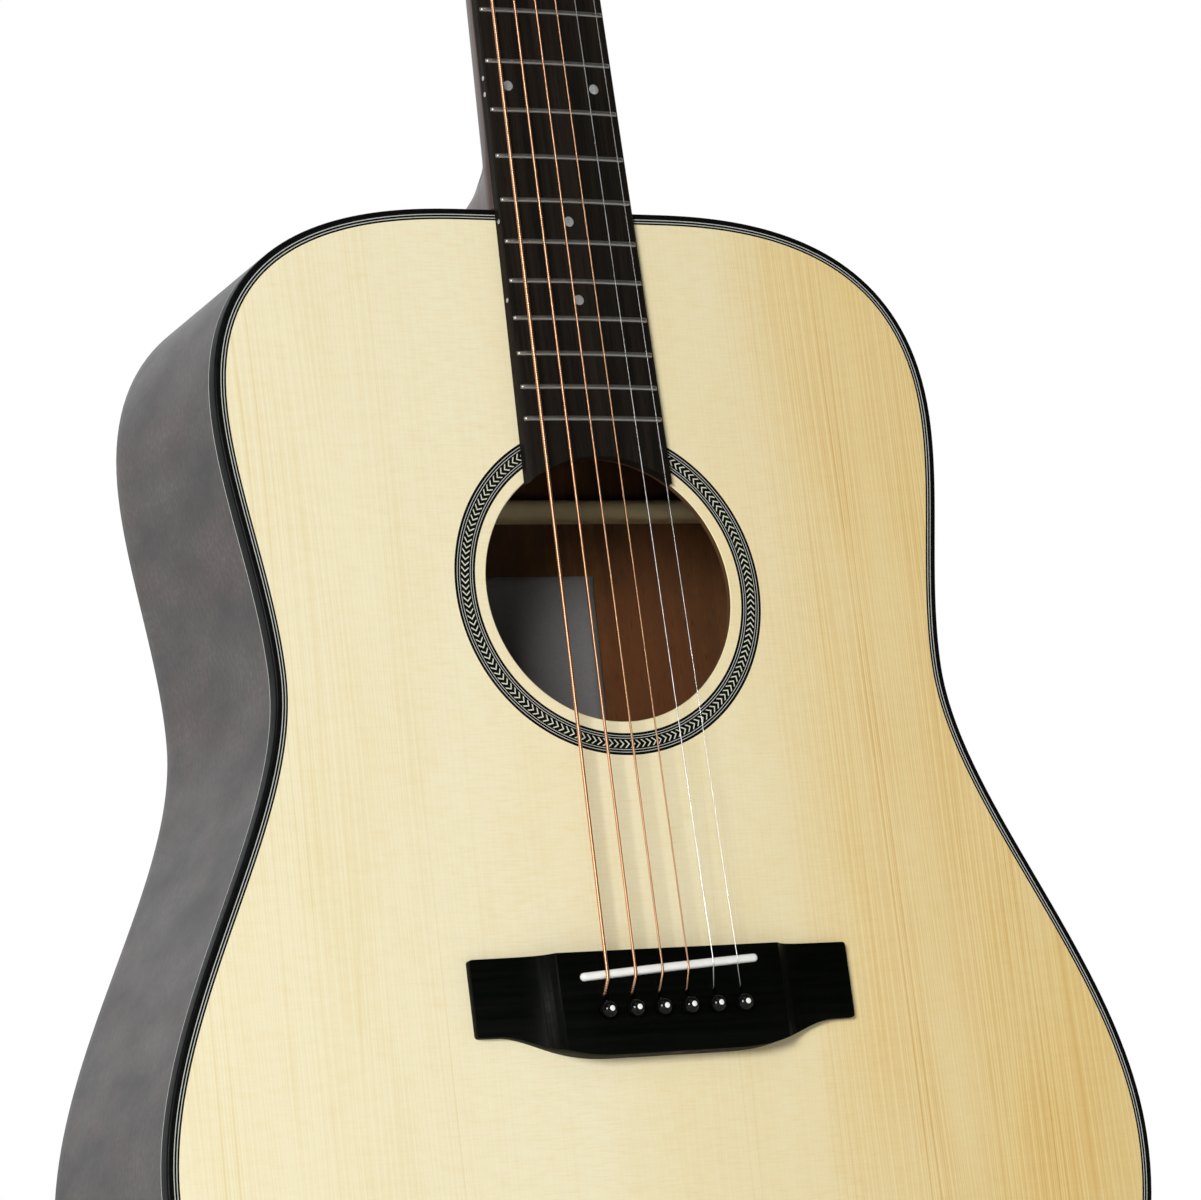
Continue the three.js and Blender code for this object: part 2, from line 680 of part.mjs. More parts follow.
function heelShape() {
  const sides = 12;
  const rim = [];
  for (let i = 0; i <= sides; i += 1) {
    const angle = (Math.PI * i) / sides;
    rim.push([Math.cos(angle), Math.sin(angle)]);
  }
  return polygon(rim);
}

function heelBlank() {
  const steps = 10;
  const top = -2;
  const options = { depth: 1, steps, bevelEnabled: false };
  return warp(new THREE.ExtrudeGeometry(heelShape(), options), (vertex) => {
    const { half, reach } = heelSlice(vertex.z);
    vertex.set(vertex.x * half, NECK_Y + vertex.y * reach, THREE.MathUtils.lerp(heelEnd(), top, vertex.z));
  });
}

function makeHeelCap() {
  const { half, reach } = heelSlice(0);
  const face = backHeight(0, BODY_TOP_Y);
  const cap = plate(heelShape(), face, face + HEEL.cap - GLUE_GAP);
  return warp(cap, (vertex) => {
    vertex.x *= half;
    vertex.y = NECK_Y + vertex.y * reach;
  });
}

// The headstock's frame: its origin is on the front face just behind the nut.
const HEAD_ORIGIN = new THREE.Vector3(0, SCALE_LENGTH + NUT_THICKNESS, 0);

function fromHead(x, y, z) {
  const axis = new THREE.Vector3(1, 0, 0);
  return new THREE.Vector3(x, y, z).applyAxisAngle(axis, -HEAD_TILT).add(HEAD_ORIGIN);
}

function headBlank() {
  const { half, halfLow, halfTop, length, thickness } = HEAD;
  const shape = new THREE.Shape();
  shape.moveTo(-half, -4);
  shape.lineTo(half, -4);
  shape.bezierCurveTo(half, 10, halfLow, 10, halfLow, 26);
  shape.lineTo(halfTop, length - 12);
  shape.quadraticCurveTo(halfTop, length - 3, halfTop - 9, length - 2);
  shape.quadraticCurveTo(0, length + 4, 9 - halfTop, length - 2);
  shape.quadraticCurveTo(-halfTop, length - 3, -halfTop, length - 12);
  shape.lineTo(-halfLow, 26);
  shape.bezierCurveTo(-halfLow, 10, -half, 10, -half, -4);
  const blank = plate(shape, -thickness, 0, 6);
  blank.rotateX(-HEAD_TILT).translate(HEAD_ORIGIN.x, HEAD_ORIGIN.y, HEAD_ORIGIN.z);
  const holes = eachTuner(({ x, y }) => {
    const bore = rod(POST.hole, x, y, -thickness - 5, 5);
    return bore.rotateX(-HEAD_TILT).translate(HEAD_ORIGIN.x, HEAD_ORIGIN.y, HEAD_ORIGIN.z);
  });
  return cut(blank, ...holes);
}

function makeNeck() {
  const tenon = tenonBlock(0, NECK_Y + 6);
  const channel = box(-TRUSS.half - 0.3, TRUSS.half + 0.3, TRUSS.from - 5, TRUSS.to + 1,
    -TRUSS.depth - 0.6, 1);
  const overTop = box(-60, 60, NECK_Y - 60, SCALE_LENGTH + NUT_THICKNESS + 0.5, 0, 40);
  return cut(join(shaftBlank(), heelBlank(), headBlank(), tenon), channel, overTop);
}

function makeTrussRod() {
  return box(-TRUSS.half, TRUSS.half, NECK_Y, TRUSS.to, -TRUSS.depth, -0.5);
}

// ---------------------------------------------------------------- strings

// Tuners one to three stand on the treble side, with the first string's nearest the nut.
function eachTuner(build) {
  return [1, 2, 3, 4, 5, 6].map((number) => {
    const side = number < 4 ? 1 : -1;
    const place = number < 4 ? number - 1 : 6 - number;
    return build({ number, side, x: side * POST_X[place], y: POST_Y[place] });
  });
}

function makeString({ number, side, x, y }) {
  const radius = STRING_RADII[number - 1];
  const pin = pinX(number);
  const over = stringX(number, AT_SADDLE);
  const nut = stringX(number, AT_NUT);
  const crest = SADDLE.y + over * Math.tan(SADDLE.angle);
  const saddleTop = SADDLE.top + radius + 0.15;
  const nutTop = stringNutHeight() + radius;
  const behind = SCALE_LENGTH + NUT_THICKNESS;
  const ball = -TOP_THICKNESS - PLATE_THICKNESS - 4.6;
  const ballY = STRING_EXIT_Y + 1.5;
  const path = [
    new THREE.Vector3(pin, ballY, ball),
    new THREE.Vector3(pin, ballY, ball + 0.4),
    new THREE.Vector3(pin, ballY, ball + 3.2),
    new THREE.Vector3(pin, STRING_EXIT_Y, ball + 4.3),
    new THREE.Vector3(pin, STRING_EXIT_Y, 2.6),
    new THREE.Vector3(pin, STRING_EXIT_Y + 2.6, BRIDGE.height + 0.9),
    new THREE.Vector3(over, crest - 1.8, saddleTop),
    new THREE.Vector3(over, crest + 1.2, saddleTop),
    new THREE.Vector3(nut, SCALE_LENGTH, nutTop),
    new THREE.Vector3(nut, behind, nutTop),
    fromHead(x - side * (POST.radius + radius + 0.3), y, POST.stringHeight),
  ];
  const radii = path.map((point, k) => (k < 3 ? 1.9 : radius));
  radii[0] = 1.2;
  return sweep(path, radii, 6);
}

// ---------------------------------------------------------------- tuning machines

function makeTunerPlate(side) {
  const top = -HEAD.thickness - TUNER_PLATE.gap;
  const low = top - TUNER_PLATE.thickness;
  const inner = side * 14;
  const outer = side * 33;
  const strip = box(Math.min(inner, outer), Math.max(inner, outer), POST_Y[0] - 14,
    POST_Y[2] + 22, low, top);
  const machines = eachTuner((tuner) => tuner).filter((tuner) => tuner.side === side);
  const lugs = machines.flatMap(({ x, y }) => [-1, 1].map((end) => {
    const middle = x + end * 7.5;
    const shaft = y + WORM.offset;
    return box(middle - 1.2, middle + 1.2, shaft - 3.6, shaft + 3.6, GEAR.z - 3.6, low + 0.5);
  }));
  const holes = machines.flatMap(({ x, y }) => [
    rod(POST.hole, x, y, low - 1, top + 1),
    axle(WORM.shaft + 0.6, x - 12, x + 12, y + WORM.offset, GEAR.z),
  ]);
  return cut(join(strip, ...lugs), ...holes);
}

function makeStringPost({ x, y }) {
  const half = GEAR.thickness / 2;
  const profile = [
    [0, GEAR.z - half - 1], [2, GEAR.z - half - 1], [2, GEAR.z - half], [GEAR.radius, GEAR.z - half],
    [GEAR.radius, GEAR.z + half], [POST.radius, GEAR.z + half], [POST.radius, POST.top - 1],
    [POST.radius - 0.8, POST.top], [0, POST.top],
  ].map(([radius, height]) => new THREE.Vector2(radius, height));
  return new THREE.LatheGeometry(profile, 10).rotateX(Math.PI / 2).translate(x, y, 0);
}

// Worm, shaft and knob in one piece, turning about x.
function makeTunerButton({ side, x, y }) {
  const { from, length, halfWide, halfThick } = BUTTON;
  const shaftY = y + WORM.offset;
  const worm = axle(WORM.radius, x - 5.6, x + 5.6, shaftY, GEAR.z);
  const inner = x - side * 10;
  const shaft = axle(WORM.shaft, inner, side * (from + 4), shaftY, GEAR.z);
  const collar = axle(3.4, side * (from - 2), side * (from + 3), shaftY, GEAR.z);
  const knob = new THREE.SphereGeometry(1, 10, 7).scale(length / 2, halfWide, halfThick);
  knob.translate(side * (from + length / 2), shaftY, GEAR.z);
  return join(worm, shaft, collar, knob);
}

// ---------------------------------------------------------------- strap button

function strapButtonHole() {
  const bore = new THREE.CylinderGeometry(STRAP_BUTTON.shaft + 0.3, STRAP_BUTTON.shaft + 0.3, 40, 16);
  return bore.translate(0, BODY_TAIL_Y + 15, STRAP_BUTTON.z);
}

function makeStrapButton() {
  const { shaft, reach, head } = STRAP_BUTTON;
  const profile = [
    [0, -22], [shaft, -22], [shaft, 0.2], [6, 0.2], [5.6, 2], [4.2, 5], [head - 1, reach - 3],
    [head, reach - 2], [head, reach - 1], [head - 1, reach], [0, reach],
  ].map(([radius, height]) => new THREE.Vector2(radius, height));
  const peg = new THREE.LatheGeometry(profile, 16).rotateX(Math.PI);
  return peg.translate(0, BODY_TAIL_Y, STRAP_BUTTON.z);
}

// ---------------------------------------------------------------- assembly

const guitar = new THREE.Group();
const body = new THREE.Group();
const head = new THREE.Group();

function finish(colour, roughness, metalness = 0) {
  return new THREE.MeshStandardMaterial({ color: colour, roughness, metalness });
}

function part(name, geometry, material, parent = body) {
  const mesh = new THREE.Mesh(closed(geometry), material);
  mesh.geometry.computeVertexNormals();
  mesh.name = name;
  parent.add(mesh);
}

function addShell() {
  part('soundboard', makeSoundboard(), finish(COLOURS.spruce, 0.45));
  part('back_plate', makeBack(), finish(COLOURS.mahogany, 0.5));
  part('top_binding', makeTopBinding(), finish(COLOURS.black, 0.35));
  part('top_purfling', makeTopPurfling(), finish(COLOURS.ring, 0.4));
  part('back_binding', makeBackBinding(), finish(COLOURS.darkMahogany, 0.5));
  part('rosette', plate(annulus(ROSETTE.inner, ROSETTE.outer, HOLE.y), -ROSETTE.depth, 0),
    finish(COLOURS.ring, 0.4));
  part('paper_label', makeLabel(), finish(COLOURS.paper, 0.8));
  for (const [label, side] of [['bass', -1], ['treble', 1]]) {
    part(`side_${label}`, makeSide(side), finish(COLOURS.darkMahogany, 0.5));
    part(`top_lining_${label}`, makeTopLining(side), finish(COLOURS.mahogany, 0.7));
    part(`back_lining_${label}`, makeBackLining(side), finish(COLOURS.mahogany, 0.7));
  }
}

function addBlocksAndBraces() {
  part('neck_block', makeNeckBlock(), finish(COLOURS.mahogany, 0.7));
  part('tail_block', makeTailBlock(), finish(COLOURS.mahogany, 0.7));
  part('x_brace_bass', makeXBrace(-1), finish(COLOURS.brace, 0.7));
  part('x_brace_treble', makeXBrace(1), finish(COLOURS.brace, 0.7));
  part('upper_transverse_brace', makeBrace([-134, 222], [134, 222], 10, 14), finish(COLOURS.brace, 0.7));
  part('tone_bar_upper', makeBrace([-96, -46], [76, -120], 7, 12), finish(COLOURS.brace, 0.7));
  part('tone_bar_lower', makeBrace([-118, -84], [26, -168], 7, 12), finish(COLOURS.brace, 0.7));
  part('bridge_plate', makeBridgePlate(), finish(COLOURS.darkMahogany, 0.7));
  BACK_BRACES.forEach(({ y, half, width, height }, i) => {
    part(`back_brace_${i + 1}`, makeBackBrace(y, half, width, height), finish(COLOURS.brace, 0.7));
  });
}

function addBridge() {
  part('bridge', makeBridge(), finish(COLOURS.black, 0.4));
  part('saddle', saddleBar(0, 3.8, SADDLE.top), finish(COLOURS.bone, 0.35));
  for (const number of [1, 2, 3, 4, 5, 6]) {
    part(`bridge_pin_${number}`, makeBridgePin(number), finish(COLOURS.black, 0.2));
  }
}

function addNeck() {
  part('neck', makeNeck(), finish(COLOURS.darkMahogany, 0.5));
  part('truss_rod', makeTrussRod(), finish(COLOURS.steel, 0.4, 1));
  part('fingerboard', makeFingerboard(), finish(COLOURS.rosewood, 0.55));
  part('frets', makeFrets(), finish(COLOURS.nickel, 0.25, 1));
  part('nut', makeNut(), finish(COLOURS.bone, 0.4));
  part('heel_cap', makeHeelCap(), finish(COLOURS.black, 0.35));
}

function addStrings() {
  eachTuner((tuner) => {
    const colour = tuner.number > 2 ? COLOURS.bronze : COLOURS.steel;
    part(`string_${tuner.number}`, makeString(tuner), finish(colour, 0.3, 1));
  });
}

function addTuners() {
  part('tuner_plate_bass', makeTunerPlate(-1), finish(COLOURS.nickel, 0.25, 1), head);
  part('tuner_plate_treble', makeTunerPlate(1), finish(COLOURS.nickel, 0.25, 1), head);
  eachTuner((tuner) => {
    part(`string_post_${tuner.number}`, makeStringPost(tuner), finish(COLOURS.nickel, 0.2, 1), head);
    part(`tuner_button_${tuner.number}`, makeTunerButton(tuner), finish(COLOURS.nickel, 0.2, 1), head);
  });
}

addShell();
addBlocksAndBraces();
addBridge();
addNeck();
addStrings();
part('strap_button', makeStrapButton(), finish(COLOURS.black, 0.35));
addTuners();

head.rotation.x = -HEAD_TILT;
head.position.copy(HEAD_ORIGIN);
body.add(head);
body.rotation.x = Math.PI / 2;
body.position.set(0, STRAP_BUTTON.z, STRAP_BUTTON.reach - BODY_TAIL_Y);
guitar.add(body);

export default guitar;
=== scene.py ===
import math

import bmesh
import bpy
from mathutils import Matrix, Vector


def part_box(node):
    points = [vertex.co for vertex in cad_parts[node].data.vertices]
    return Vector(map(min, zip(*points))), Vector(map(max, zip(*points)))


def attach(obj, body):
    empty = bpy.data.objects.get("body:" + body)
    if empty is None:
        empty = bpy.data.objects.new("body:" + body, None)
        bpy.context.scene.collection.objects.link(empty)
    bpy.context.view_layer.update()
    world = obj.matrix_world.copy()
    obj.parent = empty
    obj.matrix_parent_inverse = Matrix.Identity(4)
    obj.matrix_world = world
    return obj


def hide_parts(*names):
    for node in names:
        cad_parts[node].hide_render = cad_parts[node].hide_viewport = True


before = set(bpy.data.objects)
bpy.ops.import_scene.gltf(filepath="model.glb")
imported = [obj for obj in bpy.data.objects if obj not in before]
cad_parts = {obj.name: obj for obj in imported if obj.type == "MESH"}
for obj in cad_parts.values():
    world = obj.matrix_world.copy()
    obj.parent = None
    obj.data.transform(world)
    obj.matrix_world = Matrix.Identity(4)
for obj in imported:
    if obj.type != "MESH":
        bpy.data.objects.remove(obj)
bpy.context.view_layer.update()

# The guitar's own frame, in millimetres: x towards the treble side, y along the strings towards the
# nut with 0 on the saddle line, z out of the soundboard's face. GUITAR carries it to the row frame.

MM = 0.001
SCALE_LENGTH = 648.0
FACE_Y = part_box("soundboard")[0].y
SADDLE_LINE_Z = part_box("fingerboard")[1].z - SCALE_LENGTH * MM
GUITAR = Matrix(((1, 0, 0, 0), (0, 0, -1, FACE_Y), (0, 1, 0, SADDLE_LINE_Z), (0, 0, 0, 1)))


def inner_box(node):
    """A CAD node's lowest and highest corners in the guitar's own frame, in millimetres."""
    corners = list(zip(*(GUITAR.inverted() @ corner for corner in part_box(node))))
    return Vector([min(c) for c in corners]) / MM, Vector([max(c) for c in corners]) / MM


# ------------------------------------------------------------------ mesh helpers

def add_object(name, data, matrix=None):
    """Puts a new object into the scene."""
    made = bpy.data.objects.new(name, data)
    bpy.context.scene.collection.objects.link(made)
    if matrix is not None:
        made.matrix_world = matrix
    return made


def new_mesh(name, part):
    """A mesh from millimetre (verts, faces)."""
    mesh = bpy.data.meshes.new(name)
    mesh.from_pydata([Vector(v) * MM for v in part[0]], [], part[1])
    return mesh


def make_piece(name, part, material, replaces=None, body="guitar", smooth=True, crease=None,
               second=None, tags=None, uvs=None, matrix=GUITAR, slot=None):
    """A piece from (verts, faces). It stands for the CAD node that replaces names and rides on body.

    Faces tagged 1 take the second material, uvs has a pair for each vertex, and edges sharper than
    the crease angle stay hard. The slot argument is not used.
    """
    mesh = new_mesh(name, part)
    mesh.materials.append(material)
    if second:
        mesh.materials.append(second)
        for polygon, tag in zip(mesh.polygons, tags):
            polygon.material_index = tag
    for polygon in mesh.polygons:
        polygon.use_smooth = smooth
    if uvs:
        layer = mesh.uv_layers.new(name="UVMap")
        for loop in mesh.loops:
            layer.data[loop.index].uv = uvs[loop.vertex_index]
    weld(mesh)
    piece = add_object(name, mesh, matrix)
    slot or material.name.split(".")[0]
    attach(piece, body)
    if replaces:
        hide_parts(replaces)
    if crease:
        shade_by_angle(piece, crease)
    return piece


def weld(mesh):
    """Faces point outward and no two points share a place."""
    work = bmesh.new()
    work.from_mesh(mesh)
    bmesh.ops.remove_doubles(work, verts=work.verts, dist=1e-7)
    bmesh.ops.recalc_face_normals(work, faces=work.faces)
    work.to_mesh(mesh)
    work.free()
    mesh.update()


def join(*parts):
    """One (verts, faces) pair from several."""
    verts, faces = [], []
    for part_verts, part_faces in parts:
        start = len(verts)
        verts.extend(part_verts)
        faces.extend([tuple(i + start for i in face) for face in part_faces])
    return verts, faces


def loft(rings, caps=True):
    """Quads between closed rings of equal length, with a face over each end."""
    count = len(rings[0])
    verts = [tuple(point) for ring in rings for point in ring]
    faces = []
    for row in range(len(rings) - 1):
        for col in range(count):
            a = row * count + col
            b = row * count + (col + 1) % count
            faces.append((a, b, b + count, a + count))
    if caps:
        faces.append(tuple(range(count))[::-1])
        faces.append(tuple(range(len(verts) - count, len(verts))))
    return verts, faces


def torus_loft(rings):
    """As loft, with the last ring joined to the first."""
    verts, faces = loft(rings, caps=False)
    count = len(rings[0])
    last = len(verts) - count
    for col in range(count):
        after = (col + 1) % count
        faces.append((last + col, last + after, after, col))
    return verts, faces


def raised(plan, low, high):
    """A plan outline as an upright block."""
    return loft([[(x, y, height) for x, y in plan] for height in (low, high)])


def polar(radius, angle):
    """The point at an angle on a circle round the origin."""
    return (radius * math.cos(angle), radius * math.sin(angle))


def circle(radius, count):
    return [polar(radius, 2 * math.pi * i / count) for i in range(count)]


def arc(x, y, wide, start, end, steps, tall=None):
    """Points round x, y between two angles in degrees; an ellipse's where tall is given."""
    turns = [math.radians(start + (end - start) * k / steps) for k in range(steps + 1)]
    tall = wide if tall is None else tall
    return [(x + wide * math.cos(turn), y + tall * math.sin(turn)) for turn in turns]


def mirrored(half):
    """An outline from its right half, whose last point is on the middle line."""
    return half + [(-point[0], *point[1:]) for point in half[-2::-1]]


def lathe(profile, segments, axis=2):
    """(radius, height) pairs turned about an axis: 0 for x, 1 for y, 2 for z."""
    rings = []
    for radius, height in profile:
        ring = [list(point) for point in circle(radius, segments)]
        for point in ring:
            point.insert(axis, height)
        rings.append(ring)
    return loft(rings)


def hoop(section, x, y, count):
    """A closed (radius, height) section carried round an upright axis at x, y."""
    return torus_loft([[(x + r * c, y + r * s, z) for r, z in section] for c, s in circle(1, count)])


def moved(part, x, y, z=0.0, turn=Matrix()):
    """The part turned about its own origin, which then goes to x, y, z."""
    matrix = Matrix.Translation((x, y, z)) @ turn
    return [tuple(matrix @ Vector(v)) for v in part[0]], part[1]


def tube(points, radius, sides):
    """A round bar through points, and an (around, along) pair for each of its vertices."""
    rings, coords = [], []
    along = 0.0
    up = None
    for k, here in enumerate(points):
        before = points[max(k - 1, 0)]
        tangent = (points[min(k + 1, len(points) - 1)] - before).normalized()
        if up is None:
            start = Vector((1, 0, 0)) if abs(tangent.x) < 0.9 else Vector((0, 1, 0))
            up = tangent.cross(start)
        up = (up - tangent * up.dot(tangent)).normalized()
        side = up.cross(tangent)
        along += (here - before).length
        rings.append([here + (side * c + up * s) * radius for c, s in circle(1, sides)])
        coords += [(i / sides, along * MM) for i in range(sides)]
    return loft(rings), coords


def inset_loop(points, distance):
    """A closed plan outline moved inwards (for a counterclockwise loop)."""
    result = []
    for i, point in enumerate(points):
        after = points[(i + 1) % len(points)]
        tangent = (Vector(after) - Vector(points[i - 1])).normalized()
        result.append((point[0] - tangent.y * distance, point[1] + tangent.x * distance))
    return result


def slab(outline, low, high, soft, soft_low=0.0, steps=3):
    """A plan outline raised between two heights, with rounded top (and bottom) edges."""
    edge = arc(soft_low, low + soft_low, soft_low, 270, 180, steps) if soft_low else [(0, low)]
    edge += arc(soft, high - soft, soft, 180, 90, steps)
    return loft([[(x, y, height) for x, y in inset_loop(outline, inset)] for inset, height in edge])


def bezier(p0, p1, p2, p3, count, end=False):
    """Points of a cubic curve, without its last point unless asked."""
    points = []
    for i in range(count + (1 if end else 0)):
        t = i / count
        s = 1 - t
        weights = (s ** 3, 3 * s * s * t, 3 * s * t * t, t ** 3)
        points.append(tuple(sum(w * p[k] for w, p in zip(weights, (p0, p1, p2, p3)))
                            for k in range(len(p0))))
    return points


def between(low, high, share):
    return low + (high - low) * share


def cut_by(piece, cutter):
    """Subtracts a (verts, faces) solid from a piece and keeps the result as its mesh."""
    mesh = new_mesh("cutter", cutter)
    weld(mesh)
    tool = add_object("cutter", mesh, piece.matrix_world)
    bpy.context.view_layer.update()
    modifier = piece.modifiers.new("cut", "BOOLEAN")
    modifier.operation = "DIFFERENCE"
    modifier.solver = "EXACT"
    modifier.object = tool
    bake(piece)
    bpy.data.objects.remove(tool)


def bake(piece):
    """Applies the piece's modifiers."""
    bpy.context.view_layer.update()
    graph = bpy.context.evaluated_depsgraph_get()
    mesh = bpy.data.meshes.new_from_object(piece.evaluated_get(graph))
    piece.modifiers.clear()
    piece.data = mesh


def soften(piece, width, segments=2, angle=35):
    """Rounds the piece's sharp edges and shades it smooth between them."""
    bevel = piece.modifiers.new("soft_edges", "BEVEL")
    bevel.width = width * MM
    bevel.segments = segments
    bevel.limit_method = "ANGLE"
    bevel.angle_limit = math.radians(angle)
    bevel.harden_normals = True
    bake(piece)


def shade_by_angle(piece, angle):
    """Smooth shading except across edges sharper than the angle."""
    work = bmesh.new()
    work.from_mesh(piece.data)
    for face in work.faces:
        face.smooth = True
    for edge in work.edges:
        if len(edge.link_faces) == 2:
            edge.smooth = edge.calc_face_angle() < math.radians(angle)
    work.to_mesh(piece.data)
    work.free()


# ------------------------------------------------------------------ shader helpers

class Nodes:
    """An emptied node tree. node() adds a node, links or sets its inputs and returns one output,
    or the node itself where output is None."""

    def __init__(self, owner):
        owner.use_nodes = True
        self.tree = owner.node_tree
        self.tree.nodes.clear()

    def plug(self, socket, value):
        if isinstance(value, bpy.types.NodeSocket):
            self.tree.links.new(value, socket)
        elif isinstance(value, tuple) and len(value) == 3 and socket.type == "RGBA":
            socket.default_value = (*value, 1)
        else:
            socket.default_value = value

    def node(self, kind, inputs=None, output=0, **settings):
        made = self.tree.nodes.new("ShaderNode" + kind)
        for key, value in settings.items():
            setattr(made, key, value)
        for key, value in (inputs or {}).items():
            self.plug(made.inputs[key], value)
        return made if output is None else made.outputs[output]


class Paint(Nodes):
    """A material around one Principled shader."""

    def __init__(self, name, origin=None):
        self.material = bpy.data.materials.new(name)
        super().__init__(self.material)
        self.shader = self.node("BsdfPrincipled", output=None)
        self.node("OutputMaterial", {0: self.shader.outputs[0]}, None)
        coords = self.node("TexCoord", output=None, object=origin)
        self.place = coords.outputs["Object"]
        self.uv = coords.outputs["UV"]

    def math(self, operation, first, second=0.0, third=0.0):
        return self.node("Math", {0: first, 1: second, 2: third}, operation=operation)

    def times(self, first, second, plus=None):
        if plus is None:
            return self.math("MULTIPLY", first, second)
        return self.math("MULTIPLY_ADD", first, second, plus)

    def add(self, first, second):
        return self.math("ADD", first, second)

    def larger(self, first, second):
        return self.math("MAXIMUM", first, second)

    def split(self, source):
        return self.node("SeparateXYZ", {0: source}, None).outputs

    def noise(self, scale, detail=3.0, rough=0.55, distortion=0.0, vector=None):
        inputs = {"Vector": vector or self.place, "Scale": scale, "Detail": detail,
                  "Roughness": rough, "Distortion": distortion}
        return self.node("TexNoise", inputs)

    def grain(self, x, y, z, detail=3.0, rough=0.55, distortion=0.0, source=None, shift=(0, 0, 0)):
        """Noise with its own scale along each axis."""
        inputs = {0: source or self.place, 1: (x, y, z), 2: shift}
        vector = self.node("VectorMath", inputs, operation="MULTIPLY_ADD")
        return self.noise(1.0, detail, rough, distortion, vector)

    def remap(self, value, low, high, new_low=0.0, new_high=1.0):
        inputs = {0: value, 1: low, 2: high, 3: new_low, 4: new_high}
        return self.node("MapRange", inputs, clamp=True)

    def mix(self, share, first, second, blend="MIX"):
        inputs = {0: share, 6: first, 7: second}
        return self.node("Mix", inputs, 2, data_type="RGBA", blend_type=blend)

    def lay(self, base, tone, mask, low, high, most=1.0, blend="MIX"):
        """Covers the base with a tone where the mask climbs from low to high."""
        return self.mix(self.remap(mask, low, high, 0.0, most), base, tone, blend)

    def pores(self, base, tone, mask, low, high, share, strength, distance=0.0001):
        """Sinks and tints open pores where the mask climbs from low to high."""
        hole = self.remap(mask, low, high)
        self.bump(self.math("SUBTRACT", 1.0, hole), strength, distance)
        return self.mix(self.times(hole, share), base, tone)

    def bump(self, height, strength, distance=0.0002):
        inputs = {"Height": height, "Strength": strength, "Distance": distance}
        self.plug(self.shader.inputs["Normal"], self.node("Bump", inputs))

    def set(self, **inputs):
        for key, value in inputs.items():
            self.plug(self.shader.inputs[key.replace("_", " ")], value)
        return self.material


def colour(red, green, blue):
    """A colour given as 0-255 screen values, as a linear one."""
    def linear(level):
        share = level / 255
        return share / 12.92 if share <= 0.04045 else ((share + 0.055) / 1.055) ** 2.4
    return (linear(red), linear(green), linear(blue))


def darker(tint, share):
    return tuple(c * share for c in tint)


# ------------------------------------------------------------------ materials

# An empty on the guitar's own frame, so that one wood's grain runs the same way everywhere.
ORIGIN = add_object("grain_origin", None, GUITAR)


def growth_lines(paint, across, pitch, width, wander):
    """0-1 lines that run with the grain, at an uneven pitch and of an even width."""
    drift = paint.grain(11, 0.7, 1, 2.0)
    waver = paint.grain(70, 2.6, 1, 2.0)
    phase = paint.times(drift, wander / pitch, paint.math("DIVIDE", across, pitch))
    phase = paint.times(waver, wander * 0.12 / pitch, phase)
    place = paint.math("ABSOLUTE", paint.math("SUBTRACT", paint.math("FRACT", phase), 0.5))
    return paint.remap(place, 0.0, width / pitch, 1.0, 0.0)


def spruce_lines(paint, across, edge):
    """Strong lines in bundles and pairs over finer ones, faint near the seam."""
    coarse = growth_lines(paint, across, 0.0037, 0.0006, 0.055)
    twin = growth_lines(paint, paint.add(across, 0.0009), 0.0037, 0.0004, 0.055)
    middling = growth_lines(paint, across, 0.0021, 0.0005, 0.04)
    fine = growth_lines(paint, across, 0.0011, 0.0004, 0.03)
    bundle = paint.remap(paint.grain(55, 0.8, 1, 2.0), 0.42, 0.62)
    fade = paint.remap(paint.grain(40, 9, 1), 0.3, 0.6, 0.45, 1.0)
    pairs = paint.remap(paint.grain(90, 1.2, 1, 2.0), 0.46, 0.56)
    coarse = paint.larger(coarse, paint.times(twin, pairs))
    lines = paint.larger(paint.times(coarse, paint.times(bundle, 0.75, 0.25)),
                         paint.times(middling, 0.5))
    lines = paint.larger(lines, paint.times(fine, 0.42))
    return paint.times(lines, paint.times(paint.times(edge, 0.77, 0.23), fade))


def paint_spruce():
    """Bookmatched: calm near the seam, lined towards the edges, cream on the bass half and
    golden on the treble half, crossed by short silky flecks."""
    paint = Paint("spruce_top", ORIGIN)
    x = paint.split(paint.place)[0]
    across = paint.math("ABSOLUTE", x)
    edge = paint.remap(across, 0.058, 0.098)
    lines = spruce_lines(paint, across, edge)
    step = paint.remap(paint.times(paint.grain(60, 6, 1), 0.02, x), 0.07, 0.1, 0.0, 0.26)
    golden = paint.add(paint.times(paint.remap(x, -0.06, 0.16), 0.62), step)
    golden = paint.add(golden, paint.remap(paint.grain(20, 5, 1, 4.0), 0.3, 0.7, -0.14, 0.14))
    base = paint.mix(paint.remap(golden, 0.0, 1.0), TOP_PALE, TOP_GOLDEN)
    flecks = paint.grain(120, 1300, 1, 2.0)
    calm = paint.times(edge, -0.6, 1.0)
    silk = paint.times(paint.remap(flecks, 0.45, 0.75, 0.0, 0.28), calm)
    base = paint.mix(silk, base, TOP_FLECK, "MULTIPLY")
    base = paint.lay(base, TOP_FLECK, paint.grain(130, 260, 1), 0.45, 0.7, 0.14, "MULTIPLY")
    line_share = paint.times(lines, paint.remap(x, -0.06, 0.06, 0.5, 0.95))
    tone = paint.mix(paint.remap(x, -0.06, 0.06), TOP_LINE_PALE, TOP_LINE)
    base = paint.mix(line_share, base, tone, "MULTIPLY")
    paint.bump(lines, 0.04, 0.00006)
    return paint.set(Base_Color=base, Roughness=paint.remap(flecks, 0.3, 0.7, 0.38, 0.5),
                     Specular_IOR_Level=0.4)


